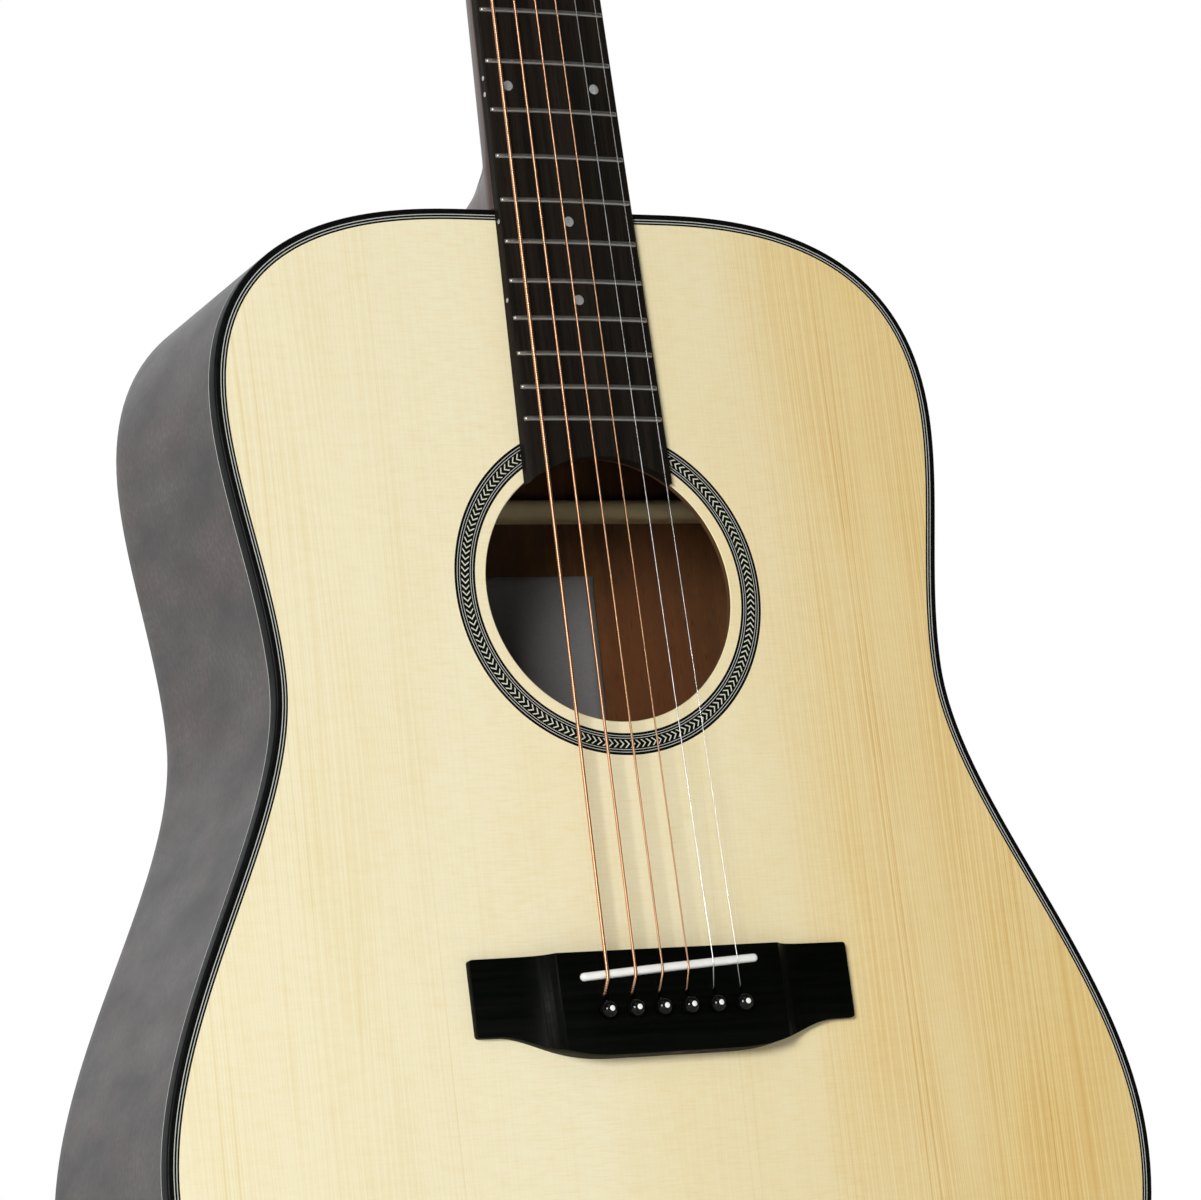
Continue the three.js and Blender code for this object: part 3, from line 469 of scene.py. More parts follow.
def paint_bare_spruce(name, light, dark, stain):
    """Unfinished spruce: fine streaks with darker stains."""
    paint = Paint(name, ORIGIN)
    streak = paint.grain(60, 700, 700)
    base = paint.lay(paint.mix(streak, light, dark), stain, paint.noise(30.0), 0.4, 0.7, 0.4)
    paint.bump(streak, 0.3)
    return paint.set(Base_Color=base, Roughness=0.75)


def paint_mahogany(name, light, dark, red, rough=0.42, coat=0.3):
    """Brown open-pored wood: broad bands, fine streaks and short dark pores up the guitar."""
    paint = Paint(name, ORIGIN)
    streak = paint.grain(700, 9, 700)
    base = paint.mix(paint.remap(paint.grain(46, 2.6, 46, 4.0, 0.6, 0.4), 0.3, 0.7), light, dark)
    base = paint.lay(base, dark, paint.grain(150, 110, 150, 4.0, 0.65), 0.42, 0.62, 0.5)
    base = paint.lay(base, dark, streak, 0.35, 0.7, 0.6)
    base = paint.lay(base, red, paint.grain(9, 5, 9), 0.5, 0.68, 0.75)
    pores = paint.grain(2200, 160, 2200, 1.0)
    base = paint.pores(base, darker(dark, 0.35), pores, 0.62, 0.72, 0.55, 0.25)
    uneven = paint.remap(streak, 0.3, 0.7, rough - 0.06, rough + 0.08)
    return paint.set(Base_Color=base, Roughness=uneven, Coat_Weight=coat, Coat_Roughness=0.35)


def paint_side_wood():
    """Dark grey-brown bent wood: soft clouds with reddish patches, short pores along the bend."""
    paint = Paint("mahogany_side", ORIGIN)
    bend = {"source": paint.uv}
    cloud = paint.grain(46, 22, 1, 4.0, **bend)
    blush = paint.grain(38, 19, 1, 4.0, 0.6, shift=(3, 7, 0), **bend)
    base = paint.mix(paint.remap(cloud, 0.36, 0.64, 0.14, 0.8), SIDE_LIGHT, SIDE_DARK)
    base = paint.lay(base, SIDE_RED, blush, 0.46, 0.66, 0.5)
    base = paint.lay(base, SIDE_DARK, paint.grain(90, 520, 1, **bend), 0.36, 0.66, 0.5)
    base = paint.lay(base, SIDE_DARK, paint.grain(420, 700, 1, 3.0, 0.7, **bend), 0.4, 0.6, 0.8)
    pores = paint.grain(240, 2300, 1, 1.0, **bend)
    base = paint.pores(base, darker(SIDE_DARK, 0.35), pores, 0.6, 0.72, 0.5, 0.2)
    return paint.set(Base_Color=base, Roughness=paint.remap(cloud, 0.3, 0.7, 0.4, 0.52),
                     Specular_IOR_Level=0.42, Coat_Weight=0.2, Coat_Roughness=0.3)


def paint_fingerboard():
    paint = Paint("dark_rosewood", ORIGIN)
    streak = paint.grain(900, 16, 900, 2.0)
    bands = paint.remap(paint.grain(160, 5, 160, 4.0, 0.6), 0.42, 0.72)
    base = paint.mix(bands, colour(20, 18, 15), colour(36, 30, 25))
    base = paint.lay(base, colour(44, 35, 28), streak, 0.45, 0.75, 0.5)
    pores = paint.grain(2600, 130, 2600, 1.0)
    base = paint.pores(base, colour(12, 11, 10), pores, 0.6, 0.7, 0.7, 0.35, 0.00012)
    return paint.set(Base_Color=base, Roughness=paint.remap(streak, 0.3, 0.7, 0.48, 0.62),
                     Specular_IOR_Level=0.06)


def paint_ebony():
    paint = Paint("black_hardwood", ORIGIN)
    streak = paint.grain(14, 420, 420)
    base = paint.mix(paint.remap(streak, 0.35, 0.75), colour(1, 3, 1), colour(7, 8, 6))
    hole = paint.remap(paint.grain(220, 2600, 2600, 1.0), 0.62, 0.72)
    paint.bump(paint.math("SUBTRACT", 1.0, hole), 0.18, 0.0001)
    return paint.set(Base_Color=base, Roughness=paint.remap(streak, 0.3, 0.7, 0.4, 0.52),
                     Specular_IOR_Level=0.05)


def paint_plastic(name, tint, rough=0.25, speckle=0.08, coat=0.4, shine=0.5):
    """Moulded plastic: a faint mottle, soft waves and fine scuffs."""
    paint = Paint(name)
    mottle = paint.noise(260.0, 4.0)
    other = tuple(min(1.0, c * (1 + speckle * 4) + speckle * 0.02) for c in tint)
    base = paint.mix(paint.remap(mottle, 0.35, 0.7), tint, other)
    uneven = paint.remap(paint.grain(900, 120, 900, 2.0), 0.35, 0.7, rough, rough + 0.14)
    paint.bump(mottle, 0.05, 0.0001)
    return paint.set(Base_Color=base, Roughness=uneven, Coat_Weight=coat, Coat_Roughness=0.12,
                     Specular_IOR_Level=shine)


def paint_bone():
    paint = Paint("bone", ORIGIN)
    fibre = paint.grain(90, 2400, 2400, 2.0)
    base = paint.mix(paint.noise(220.0, 4.0), colour(247, 248, 246), colour(230, 230, 226))
    base = paint.lay(base, colour(204, 202, 194), fibre, 0.6, 0.8, 0.3)
    paint.bump(fibre, 0.12, 0.0001)
    return paint.set(Base_Color=base, Roughness=0.38, Subsurface_Weight=0.15,
                     Subsurface_Radius=(0.002, 0.0015, 0.001), Coat_Weight=0.2)


def paint_metal(name, tint, rough=0.22, wear=0.12, origin=ORIGIN):
    """Metal with fine scratches and a slightly tarnished, uneven sheen."""
    paint = Paint(name, origin)
    scratch = paint.grain(900, 60, 900, 2.0)
    cloud = paint.noise(90.0, 4.0)
    base = paint.lay(tint, darker(tint, 0.72), cloud, 0.4, 0.75, 0.5)
    uneven = paint.add(paint.remap(scratch, 0.3, 0.7, rough, rough + wear),
                       paint.remap(cloud, 0.4, 0.7, 0.0, 0.06))
    paint.bump(scratch, 0.08, 0.00005)
    return paint.set(Base_Color=base, Metallic=1.0, Roughness=uneven)


def paint_wound(name, tint, pitch):
    """Winding wire round a core: slanted turns along the string, read from its UV."""
    paint = Paint(name)
    around, along = paint.split(paint.uv)[:2]
    turn = paint.add(paint.math("DIVIDE", along, pitch), around)
    ripple = paint.math("SINE", paint.times(turn, 2 * math.pi))
    # The colour darkens towards the bottom of each groove between the turns: painted shade.
    base = paint.mix(paint.remap(ripple, -1.0, -0.1, 0.35, 0.0), tint, darker(tint, 0.4))
    base = paint.lay(base, darker(tint, 0.6), paint.noise(60.0), 0.4, 0.8, 0.3)
    paint.bump(ripple, 0.35, 0.0001)
    return paint.set(Base_Color=base, Metallic=1.0, Roughness=0.32)


def paint_shaded_paper():
    paint = Paint("label_paper", ORIGIN)
    fibre = paint.noise(900.0, 4.0, 0.7)
    # The paper is painted grey rather than white: painted shade for the dim inside of the body.
    base = paint.mix(fibre, colour(142, 140, 139), colour(118, 116, 115))
    base = paint.lay(base, colour(112, 106, 99), paint.noise(26.0), 0.5, 0.75, 0.25)
    paint.bump(fibre, 0.2, 0.0001)
    return paint.set(Base_Color=base, Roughness=0.85, Sheen_Weight=0.1)


def paint_pearl():
    paint = Paint("pearl_dots", ORIGIN)
    swirl = paint.noise(500.0, 4.0, 0.6, 2.0)
    base = paint.mix(swirl, colour(188, 190, 188), colour(136, 139, 144))
    return paint.set(Base_Color=base, Roughness=0.22, Coat_Weight=0.4, Metallic=0.1)


TOP_PALE = colour(241, 233, 200)
TOP_GOLDEN = colour(236, 211, 146)
TOP_FLECK = colour(244, 228, 188)
TOP_LINE = colour(228, 192, 128)
TOP_LINE_PALE = colour(232, 208, 142)
SPRUCE = paint_spruce()
BRACE = paint_bare_spruce("spruce_brace", colour(252, 234, 186), colour(230, 204, 150),
                          colour(166, 140, 100))
# Spruce darkened to brown for the soundboard's underside and the lower rim wall of the sound hole:
# painted shade for the dim inside of the body.
SHADED_UNDERSIDE = paint_bare_spruce("spruce_underside", colour(108, 74, 40), colour(84, 56, 30),
                              colour(66, 44, 26))
SIDE_LIGHT = colour(82, 71, 64)
SIDE_DARK = colour(35, 31, 30)
SIDE_RED = colour(92, 62, 54)
SIDE_WOOD = paint_side_wood()
BACK_WOOD = paint_mahogany("mahogany_back", colour(124, 84, 48), colour(78, 50, 28),
                           colour(116, 68, 38))
INNER_WOOD = paint_mahogany("mahogany_inner", colour(140, 98, 68), colour(98, 66, 44),
                            colour(120, 72, 50), rough=0.7, coat=0.0)
NECK_WOOD = paint_mahogany("mahogany_neck", colour(96, 74, 62), colour(64, 48, 40),
                           colour(100, 62, 50))
BOARD_WOOD = paint_fingerboard()
EBONY = paint_ebony()
BINDING = paint_plastic("black_binding", colour(8, 9, 9), rough=0.3, coat=0.0, shine=0.07)
PIN_BLACK = paint_plastic("black_pin", colour(4, 4, 5), rough=0.1, coat=0.12, shine=0.2)
PEG_BLACK = paint_plastic("black_button", colour(18, 18, 19), rough=0.2)
LINE_WHITE = paint_plastic("line_white", colour(188, 190, 184), rough=0.4, speckle=0.01, coat=0.0)
DOT_WHITE = paint_plastic("dot_white", colour(240, 240, 236), rough=0.35, speckle=0.01)
LINE_BLACK = paint_plastic("line_black", colour(4, 5, 5), rough=0.5, coat=0.0, shine=0.08)
CHEVRON_WOOD = paint_plastic("chevron_wood", colour(204, 206, 186), rough=0.5, speckle=0.04, coat=0.0)
BONE = paint_bone()
FRET_METAL = paint_metal("fret_nickel", colour(178, 176, 170), rough=0.3)
CHROME = paint_metal("tuner_chrome", colour(232, 232, 234), rough=0.08, wear=0.06, origin=None)
STEEL = paint_metal("plain_steel", colour(206, 206, 206))
ROD_STEEL = paint_metal("truss_steel", colour(150, 150, 152), rough=0.4)
WINDING_PITCHES = {3: 0.5, 4: 0.6, 5: 0.75, 6: 0.9}
WOUND = {number: paint_wound(f"bronze_string_{number}", colour(232, 178, 138), pitch * MM)
         for number, pitch in WINDING_PITCHES.items()}
SHADED_PAPER = paint_shaded_paper()
PEARL = paint_pearl()

# ------------------------------------------------------------------ body outline

BODY_LOW, BODY_HIGH = inner_box("top_binding")
NECK_FLAT = 40.0
UPPER_BOUT = (148.0, 208.0)
WAIST = (137.0, 109.5)
LOWER_BOUT = (BODY_HIGH.x, -73.0)
TAIL_HANDLE = 118.0
TOP_THICKNESS = -inner_box("soundboard")[0].z
BACK_THICKNESS = 2.8
BACK_ARCH = 5.0
BINDING_WIDTH = 2.3
BINDING_HEIGHT = BODY_HIGH.z - BODY_LOW.z
BINDING_CORNER = 0.9
DEPTH_AT_NECK = -inner_box("heel_cap")[0].z
DEPTH_AT_TAIL = -inner_box("back_binding")[0].z
SIDE_THICKNESS = 2.6
SIDE_LINE = 0.4
SIDE_LINE_DEPTH = 1.5
PLATE_INSET = BINDING_WIDTH + 0.05
INLAY_LIFT = 0.02
GLUE = 0.1


def outline_stations(per_curve=44):
    """(point, outward normal, distance along) down the treble half, then up the bass half."""
    top, tail = BODY_HIGH.y, BODY_LOW.y
    ux, uy = UPPER_BOUT
    wx, wy = WAIST
    lx, ly = LOWER_BOUT
    half = [(NECK_FLAT * i / 6, top) for i in range(6)]
    half += bezier((NECK_FLAT, top), (NECK_FLAT + 32, top), (ux, uy + 76), (ux, uy), per_curve)
    half += bezier((ux, uy), (ux, uy - 31), (wx, wy + 33), (wx, wy), per_curve)
    half += bezier((wx, wy), (wx, wy - 54), (lx, ly + 66), (lx, ly), per_curve)
    half += bezier((lx, ly), (lx, ly - 84), (TAIL_HANDLE, tail), (0, tail), per_curve, end=True)
    loop = [Vector(point) for point in mirrored(half)[:-1]]
    stations = []
    along = 0.0
    for i, here in enumerate(loop):
        before = loop[i - 1]
        tangent = (loop[(i + 1) % len(loop)] - before).normalized()
        if i:
            along += (here - before).length
        stations.append((here, Vector((-tangent.y, tangent.x)), along))
    return stations, len(half)


STATIONS, HALF_COUNT = outline_stations()
PLATE_EDGE = [point - normal * PLATE_INSET for point, normal, _ in STATIONS]


def back_height(x, y):
    """The back's outer face: deeper to the tail, level over the blocks, arched outside them."""
    share = (BODY_HIGH.y - y) / (BODY_HIGH.y - BODY_LOW.y)
    outside = max(abs(x) - NECK_FLAT, 0) / (LOWER_BOUT[0] - NECK_FLAT)
    return -(between(DEPTH_AT_NECK, DEPTH_AT_TAIL, share) - BACK_ARCH * outside ** 2)


def back_inside(x, y):
    """Just above the back's inner face, where glued pieces rest."""
    return back_height(x, y) + BACK_THICKNESS + GLUE


def edge_sweep(name, section, material, half=None, **options):
    """Carries a section of (inset, height) pairs, or a function that gives the pairs at x, y,
    round the body's outline or round one half of it."""
    chosen = STATIONS
    if half == "treble":
        chosen = STATIONS[:HALF_COUNT]
    elif half == "bass":
        point, normal, _ = STATIONS[0]
        whole_way = STATIONS[-1][2] + (point - STATIONS[-1][0]).length
        chosen = STATIONS[HALF_COUNT - 1:] + [(point, normal, whole_way)]
    rings, uvs = [], []
    for point, normal, along in chosen:
        pairs = section(*point) if callable(section) else section
        rings.append([(*(point - normal * inset), height) for inset, height in pairs])
        uvs += [(along * MM, height * MM) for _, height in pairs]
    part = loft(rings) if half else torus_loft(rings)
    make_piece(name, part, material, crease=40, uvs=uvs, **options)


def strip(inner, outer, low, high):
    """A square section."""
    return [(inner, low), (inner, high), (outer, high), (outer, low)]


def binding_section(low):
    """A binding's section, round at its outer top corner."""
    corner = arc(BINDING_CORNER, -BINDING_CORNER, BINDING_CORNER, 180, 90, 4)
    return [(0, low)] + corner + [(BINDING_WIDTH, 0), (BINDING_WIDTH, low)]


def build_bindings():
    """Black round the top over a thin white line, and the side's own wood round the back."""
    def back(x, y):
        face = back_height(x, y)
        return [(inset, face - height) for inset, height in binding_section(-BINDING_HEIGHT)]

    line_top = SIDE_LINE - BINDING_HEIGHT
    line = strip(0, SIDE_LINE_DEPTH, -BINDING_HEIGHT, line_top)
    edge_sweep("top_binding_strip", binding_section(line_top), BINDING, replaces="top_binding")
    edge_sweep("back_binding_strip", back, SIDE_WOOD, replaces="back_binding")
    edge_sweep("side_line_top", line, LINE_WHITE, slot="purfling")


LINE_TONES = {"white": LINE_WHITE, "black": LINE_BLACK}
# Width and tone of each strip, from the outside in.
PURFLING_LINES = [(0.32, "white"), (0.75, "black"), (0.32, "white"), (0.7, "black")]
PURFLING_DEPTH = 1.4


def build_purfling():
    """Thin strips let in just inside the binding."""
    edge = BINDING_WIDTH
    for number, (width, tone) in enumerate(PURFLING_LINES, 1):
        section = strip(edge, edge + width, -PURFLING_DEPTH, INLAY_LIFT)
        edge += width
        edge_sweep(f"purfling_{tone}_{number}", section, LINE_TONES[tone], slot="purfling",
                   replaces="top_purfling" if number == 1 else None)


def build_sides():
    def section(x, y):
        low = back_height(x, y) + BINDING_HEIGHT
        heights = [between(low, -BINDING_HEIGHT, k / 8) for k in range(9)]
        return [(0, height) for height in heights] + [(SIDE_THICKNESS, h) for h in heights[::-1]]

    for side in ("treble", "bass"):
        edge_sweep(f"side_{side}_panel", section, SIDE_WOOD, half=side, replaces=f"side_{side}")


# ------------------------------------------------------------------ soundboard and rosette

ROSETTE_LOW, ROSETTE_HIGH = inner_box("rosette")
HOLE_Y = (ROSETTE_LOW.y + ROSETTE_HIGH.y) / 2
HOLE_RADIUS = 50.0
HOLE_EDGE = 0.3


def build_soundboard():
    """One sheet from the sound hole's rim out to the binding."""
    centre = Vector((0, HOLE_Y))
    # Each point's share of the way out, its height and its shift outwards.
    section = [(0, -TOP_THICKNESS, 0), (0, -HOLE_EDGE, 0), (0, 0, HOLE_EDGE), (0.3, 0, 0),
               (0.7, 0, 0), (1, 0, 0), (1, -TOP_THICKNESS, 0), (0.5, -TOP_THICKNESS, 0)]
    columns = []
    for far in PLATE_EDGE:
        near = centre + (far - centre).normalized() * HOLE_RADIUS
        outwards = (near - centre).normalized()
        columns.append([(*(near.lerp(far, share) + outwards * shift), height)
                        for share, height, shift in section])
    part = torus_loft(columns)
    # Faces on the underside and on the lower part of the hole's rim wall take the darkened spruce:
    # painted shade.
    under = (0, len(section) - 2, len(section) - 1)
    tags = [1 if index % len(section) in under else 0 for index in range(len(part[1]))]
    make_piece("soundboard_sheet", part, SPRUCE, "soundboard", smooth=False, second=SHADED_UNDERSIDE,
               tags=tags)


ROSETTE_START = 54.4
# Width and tone of each ring, from the inside out.
ROSETTE_RINGS = [(0.93, "black"), (0.24, "white"), (0.63, "black"), (0.24, "white"),
                 (3.99, "black"), (0.24, "white"), (0.71, "black"), (0.24, "white"),
                 (0.98, "black")]
ROSETTE_DEPTH = 1.2
CHEVRON_COUNT = 164
CHEVRON_EDGES = (57.0, 59.9)
CHEVRON_BACK = 1.5
CHEVRON_STROKE = 0.62
CHEVRON_DEPTH = 0.6
CHEVRON_LIFT = 0.05


def build_rosette():
    """Fine black and white rings round a broad black one."""
    bands = {"black": [], "white": []}
    edge = ROSETTE_START
    for width, tone in ROSETTE_RINGS:
        section = strip(edge, edge + width, -ROSETTE_DEPTH, INLAY_LIFT)
        bands[tone].append(hoop(section, 0, HOLE_Y, 256))
        edge += width
    for tone, hoops in bands.items():
        make_piece(f"rosette_{tone}_rings", join(*hoops), LINE_TONES[tone], smooth=False,
                   slot="rosette", replaces="rosette" if tone == "black" else None)


def build_chevrons():
    """Pale arrowheads that point round the ring, each with two slanted strokes."""
    middle = sum(CHEVRON_EDGES) / 2
    marks = []
    for i in range(CHEVRON_COUNT):
        start = 2 * math.pi * i / CHEVRON_COUNT
        for edge in CHEVRON_EDGES:
            plan = []
            for radius, back in ((middle, 0.0), (edge, CHEVRON_BACK),
                                 (edge, CHEVRON_BACK + CHEVRON_STROKE), (middle, CHEVRON_STROKE)):
                x, y = polar(radius, start - back / middle)
                plan.append((x, HOLE_Y + y))
            marks.append(raised(plan, -CHEVRON_DEPTH, CHEVRON_LIFT))
    make_piece("rosette_chevrons", join(*marks), CHEVRON_WOOD, smooth=False, slot="rosette")


# ------------------------------------------------------------------ back and inside

def build_back():
    """An arched plate in rings that shrink from the outline to a line near the middle."""
    centre = Vector((0, 60))
    shares = (0.001, 0.15, 0.3, 0.45, 0.6, 0.75, 0.88, 1.0)

    def ring(share, lift):
        places = [centre.lerp(point, share) for point in PLATE_EDGE]
        return [(*place, back_height(*place) + lift) for place in places]

    rings = [ring(share, BACK_THICKNESS) for share in shares]
    rings += [ring(share, 0) for share in reversed(shares)]
    make_piece("back_panel", loft(rings), BACK_WOOD, "back_plate")


LABEL_LIFTS = (0.15, 0.4)


def build_label():
    """A plain sheet glued to the back, its edges lifted a little."""
    low, high = inner_box("paper_label")
    columns, rows = 24, 18

    def line(j, lift):
        y = between(low.y, high.y, j / rows)
        points = []
        for i in range(columns + 1):
            x = between(low.x, high.x, i / columns)
            curl = 0.35 * (2 * j / rows - 1) ** 8 + 0.5 * (2 * i / columns - 1) ** 10
            points.append((x, y, back_height(x, y) + BACK_THICKNESS + lift + curl))
        return points

    under, over = LABEL_LIFTS
    rings = [line(j, under) + line(j, over)[::-1] for j in range(rows + 1)]
    make_piece("label_sheet", loft(rings), SHADED_PAPER, "paper_label")


# The CAD's own pieces, with the width of their softened edges.
EASED_PARTS = {
    BRACE: {"x_brace_bass": 0.9, "x_brace_treble": 0.9, "upper_transverse_brace": 0.9,
            "tone_bar_upper": 0.9, "tone_bar_lower": 0.9},
    INNER_WOOD: {"neck_block": 1.5, "tail_block": 1.5, "bridge_plate": 0.4},
    ROD_STEEL: {"truss_rod": 0.6},
}


def build_inside():
    """Bracing, blocks and rod with their edges eased."""
    for material, widths in EASED_PARTS.items():
        for name, width in widths.items():
            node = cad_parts[name]
            place = GUITAR.inverted() @ node.matrix_world
            verts = [tuple((place @ vertex.co) / MM) for vertex in node.data.vertices]
            faces = [tuple(polygon.vertices) for polygon in node.data.polygons]
            soften(make_piece(f"{name}_eased", (verts, faces), material, name, smooth=False), width)


BACK_BRACE_HEIGHTS = (10.0, 16.0, 11.0, 11.0)
BRACE_END = 4.0
BRACE_FADE = 0.22


def build_back_braces():
    """Bars across the back, round on top, thinning to their ends."""
    for number, tallest in enumerate(BACK_BRACE_HEIGHTS, 1):
        low, high = inner_box(f"back_brace_{number}")
        half, middle, thick = high.x, (low.y + high.y) / 2, (high.y - low.y) / 2
        rings = []
        for k in range(49):
            x = half * (k / 24 - 1)
            rise = min(1.0, (half - abs(x)) / (BRACE_FADE * half))
            height = between(BRACE_END, tallest, rise * rise * (3 - 2 * rise))
            crown = min(thick, height * 0.8)
            floor = back_inside(x, middle)
            section = [(middle - thick, floor)]
            section += arc(middle, floor + height - crown, thick, 180, 0, 10, crown)
            rings.append([(x, *pair) for pair in section + [(middle + thick, floor)]])
        make_piece(f"back_brace_bar_{number}", loft(rings), BRACE, f"back_brace_{number}", crease=50)


LINING_HEIGHT = 14.0
LINING_BEVEL = 6.0
LINING_CLEAR = 4.0
LINING_INSET = SIDE_THICKNESS + 0.2
# Where a block and then the ribbon start and end, as shares of the pitch, and their thickness.
KERFS = ((0.0, 0.82, 6.0), (0.82, 1.0, 1.2))


def bevelled(plan, base, crest):
    """A block on a plan of four corners, shorter along the two that face inwards."""
    drop = math.copysign(LINING_BEVEL, crest[0] - base[0])
    tops = [z - (drop if i in (1, 2) else 0) for i, z in enumerate(crest)]
    levels = sorted((base, tops))
    return loft([[(*place, z) for place, z in zip(plan, heights)] for heights in levels])


def build_linings():
    """Kerfed strips: short blocks on a thin ribbon, along each inner edge."""
    for side, label in ((1, "treble"), (-1, "bass")):
        half = [s for s in STATIONS[:HALF_COUNT]
                if s[0].x > NECK_FLAT + (0 if s[0].y > 0 else LINING_CLEAR)]
        tops, backs = [], []
        for (p0, n0, _), (p1, n1, _) in zip(half, half[1:]):
            for start, end, deep in KERFS:
                a, b = p0.lerp(p1, start), p0.lerp(p1, end)
                plan = [a - n0 * LINING_INSET, a - n0 * (LINING_INSET + deep),
                        b - n1 * (LINING_INSET + deep), b - n1 * LINING_INSET]
                plan = [(side * p.x, p.y) for p in plan]
                face = [-TOP_THICKNESS] * 4
                tops.append(bevelled(plan, face, [z - LINING_HEIGHT for z in face]))
                floor = [back_inside(x, y) for x, y in plan]
                backs.append(bevelled(plan, floor, [z + LINING_HEIGHT for z in floor]))
        for edge, blocks in (("top", tops), ("back", backs)):
            make_piece(f"kerfed_{edge}_lining_{label}", join(*blocks), INNER_WOOD,
                       f"{edge}_lining_{label}", smooth=False)


# ------------------------------------------------------------------ fingerboard, frets and nut

BOARD_THICKNESS = 5.0
BOARD_CROWN = 400.0
BOARD_EDGE = 0.5
BOARD_HALF_AT_NUT = 21.3
BOARD_HALF_AT_OCTAVE = 27.2
BOARD_END_RADIUS = HOLE_RADIUS - 0.8
FRET_COUNT = 20
FRET_HEIGHT = 1.0
FRET_HALF_WIDTH = 1.05
FRET_SLOPE = 1.1
FRET_END_HEIGHT = 0.18
FRET_SINK = 0.15
NUT_THICKNESS = 5.0
NUT_HEIGHT = 7.4
NUT_STRING_HEIGHT = BOARD_THICKNESS + FRET_HEIGHT + 0.2
NUT_CORNER = ((0, 0.6), (0.2, 0.2), (0.7, 0.0))
NUT_CROWN = 0.35
NUT_SLACK = 0.12
NECK_Y = BODY_HIGH.y + 0.1


def fret_y(number):
    return SCALE_LENGTH / 2 ** (number / 12)


def board_half(y):
    slope = (BOARD_HALF_AT_OCTAVE - BOARD_HALF_AT_NUT) / (SCALE_LENGTH / 2)
    return BOARD_HALF_AT_NUT + slope * (SCALE_LENGTH - y)


def board_top(x):
    return BOARD_THICKNESS - (BOARD_CROWN - math.sqrt(BOARD_CROWN ** 2 - x * x))


def build_fingerboard():
    """Lengthwise lines from the arc round the sound hole up to the nut, crowned across."""
    across, along = 24, 40
    widest = board_half(HOLE_Y + BOARD_END_RADIUS * 0.85)
    shares = [-1 + 2 * i / across for i in range(across + 1)]
    over = [-1] + shares + [1]
    rows = []
    for j in range(along + 1):
        ring = []
        for i, share in enumerate(over + shares[::-1]):
            end = HOLE_Y + math.sqrt(BOARD_END_RADIUS ** 2 - (share * widest) ** 2)
            y = between(end, SCALE_LENGTH, j / along)
            x = share * board_half(y)
            z = board_top(x) if i < len(over) else 0.05
            if i in (0, across + 2):
                z -= BOARD_EDGE
            elif i in (1, across + 1):
                x -= math.copysign(BOARD_EDGE, x)
            ring.append((x, y, z))
        rows.append(ring)
    board = make_piece("fingerboard_slab", loft(rows, caps=False), BOARD_WOOD, "fingerboard")
    cap_ends(board)
    shade_by_angle(board, 40)


def cap_ends(piece):
    """Closes a tube's two open ends."""
    work = bmesh.new()
    work.from_mesh(piece.data)
    bmesh.ops.holes_fill(work, edges=[edge for edge in work.edges if edge.is_boundary])
    bmesh.ops.triangulate(work, faces=[face for face in work.faces if len(face.verts) > 4])
    bmesh.ops.recalc_face_normals(work, faces=work.faces)
    work.to_mesh(piece.data)
    work.free()


def fret_bar(y):
    """A rounded crown across the board, with its ends filed down."""
    half = board_half(y) - 0.9
    end = [half - FRET_SLOPE, half - 0.6, half - 0.25, half]
    flat = end[0]
    stations = [-x for x in end[::-1]] + [-flat + 2 * flat * i / 14 for i in range(1, 14)] + end
    rings = []
    for x in stations:
        inwards = min(1.0, (half - abs(x)) / FRET_SLOPE)
        tall = between(FRET_END_HEIGHT, FRET_HEIGHT, math.sqrt(1 - (1 - inwards) ** 2)) + FRET_SINK
        wide = FRET_HALF_WIDTH * (0.72 + 0.28 * inwards)
        section = arc(0, 0, 1, 0, 180, 10)
        rings.append([(x, y + wide * c, board_top(x) - FRET_SINK + tall * max(s, 0) ** 0.8)
                      for c, s in section])
    return loft(rings)


def build_frets():
    bars = [fret_bar(fret_y(number)) for number in range(1, FRET_COUNT + 1)]
    make_piece("fret_crowns", join(*bars), FRET_METAL, "frets")


def disc(radius, segments):
    """A dot with a softened rim, sunk into a surface."""
    rim = [(radius, -DOT_DEPTH), (radius, -DOT_LIFT), (radius - DOT_SOFT, DOT_LIFT)]
    return lathe([(0.0, -DOT_DEPTH), *rim, (0.0, DOT_LIFT)], segments)


DOT_DEPTH = 0.6
DOT_LIFT = 0.04
DOT_SOFT = 0.08
FACE_DOT = 2.0
EDGE_DOT = 0.95
MARKED_FRETS = (3, 5, 7, 9, 12, 15, 17)
OCTAVE_DOTS = (-18, 18)
OCTAVE_EDGE_DOTS = (-3.2, 3.2)
EDGE_DOT_HEIGHT = 2.6


def build_markers():
    """Pearl dots let into the board's face, and small ones in its bass edge; two at the octave."""
    dots, edge_dots = [], []
    turn = Matrix.Rotation(-math.pi / 2, 4, "Y")
    for number in MARKED_FRETS:
        y = (fret_y(number) + fret_y(number - 1)) / 2
        for x in OCTAVE_DOTS if number == 12 else (0,):
            tilt = Matrix.Rotation(x / BOARD_CROWN, 4, "Y")
            dots.append(moved(disc(FACE_DOT, 28), x, y, board_top(x), tilt))
        for shift in OCTAVE_EDGE_DOTS if number == 12 else (0,):
            place = (-board_half(y + shift), y + shift, EDGE_DOT_HEIGHT)
            edge_dots.append(moved(disc(EDGE_DOT, 18), *place, turn))
    make_piece("face_dots", join(*dots), PEARL, slot="purfling")
    make_piece("edge_dots", join(*edge_dots), PEARL, slot="purfling")


STRING_RADII = [0.15, 0.2, 0.31, 0.41, 0.53, 0.67]
# The outer strings' spread and how far all six stand off the middle.
AT_NUT = (35.4, -1.0)
AT_SADDLE = (53.4, -0.35)


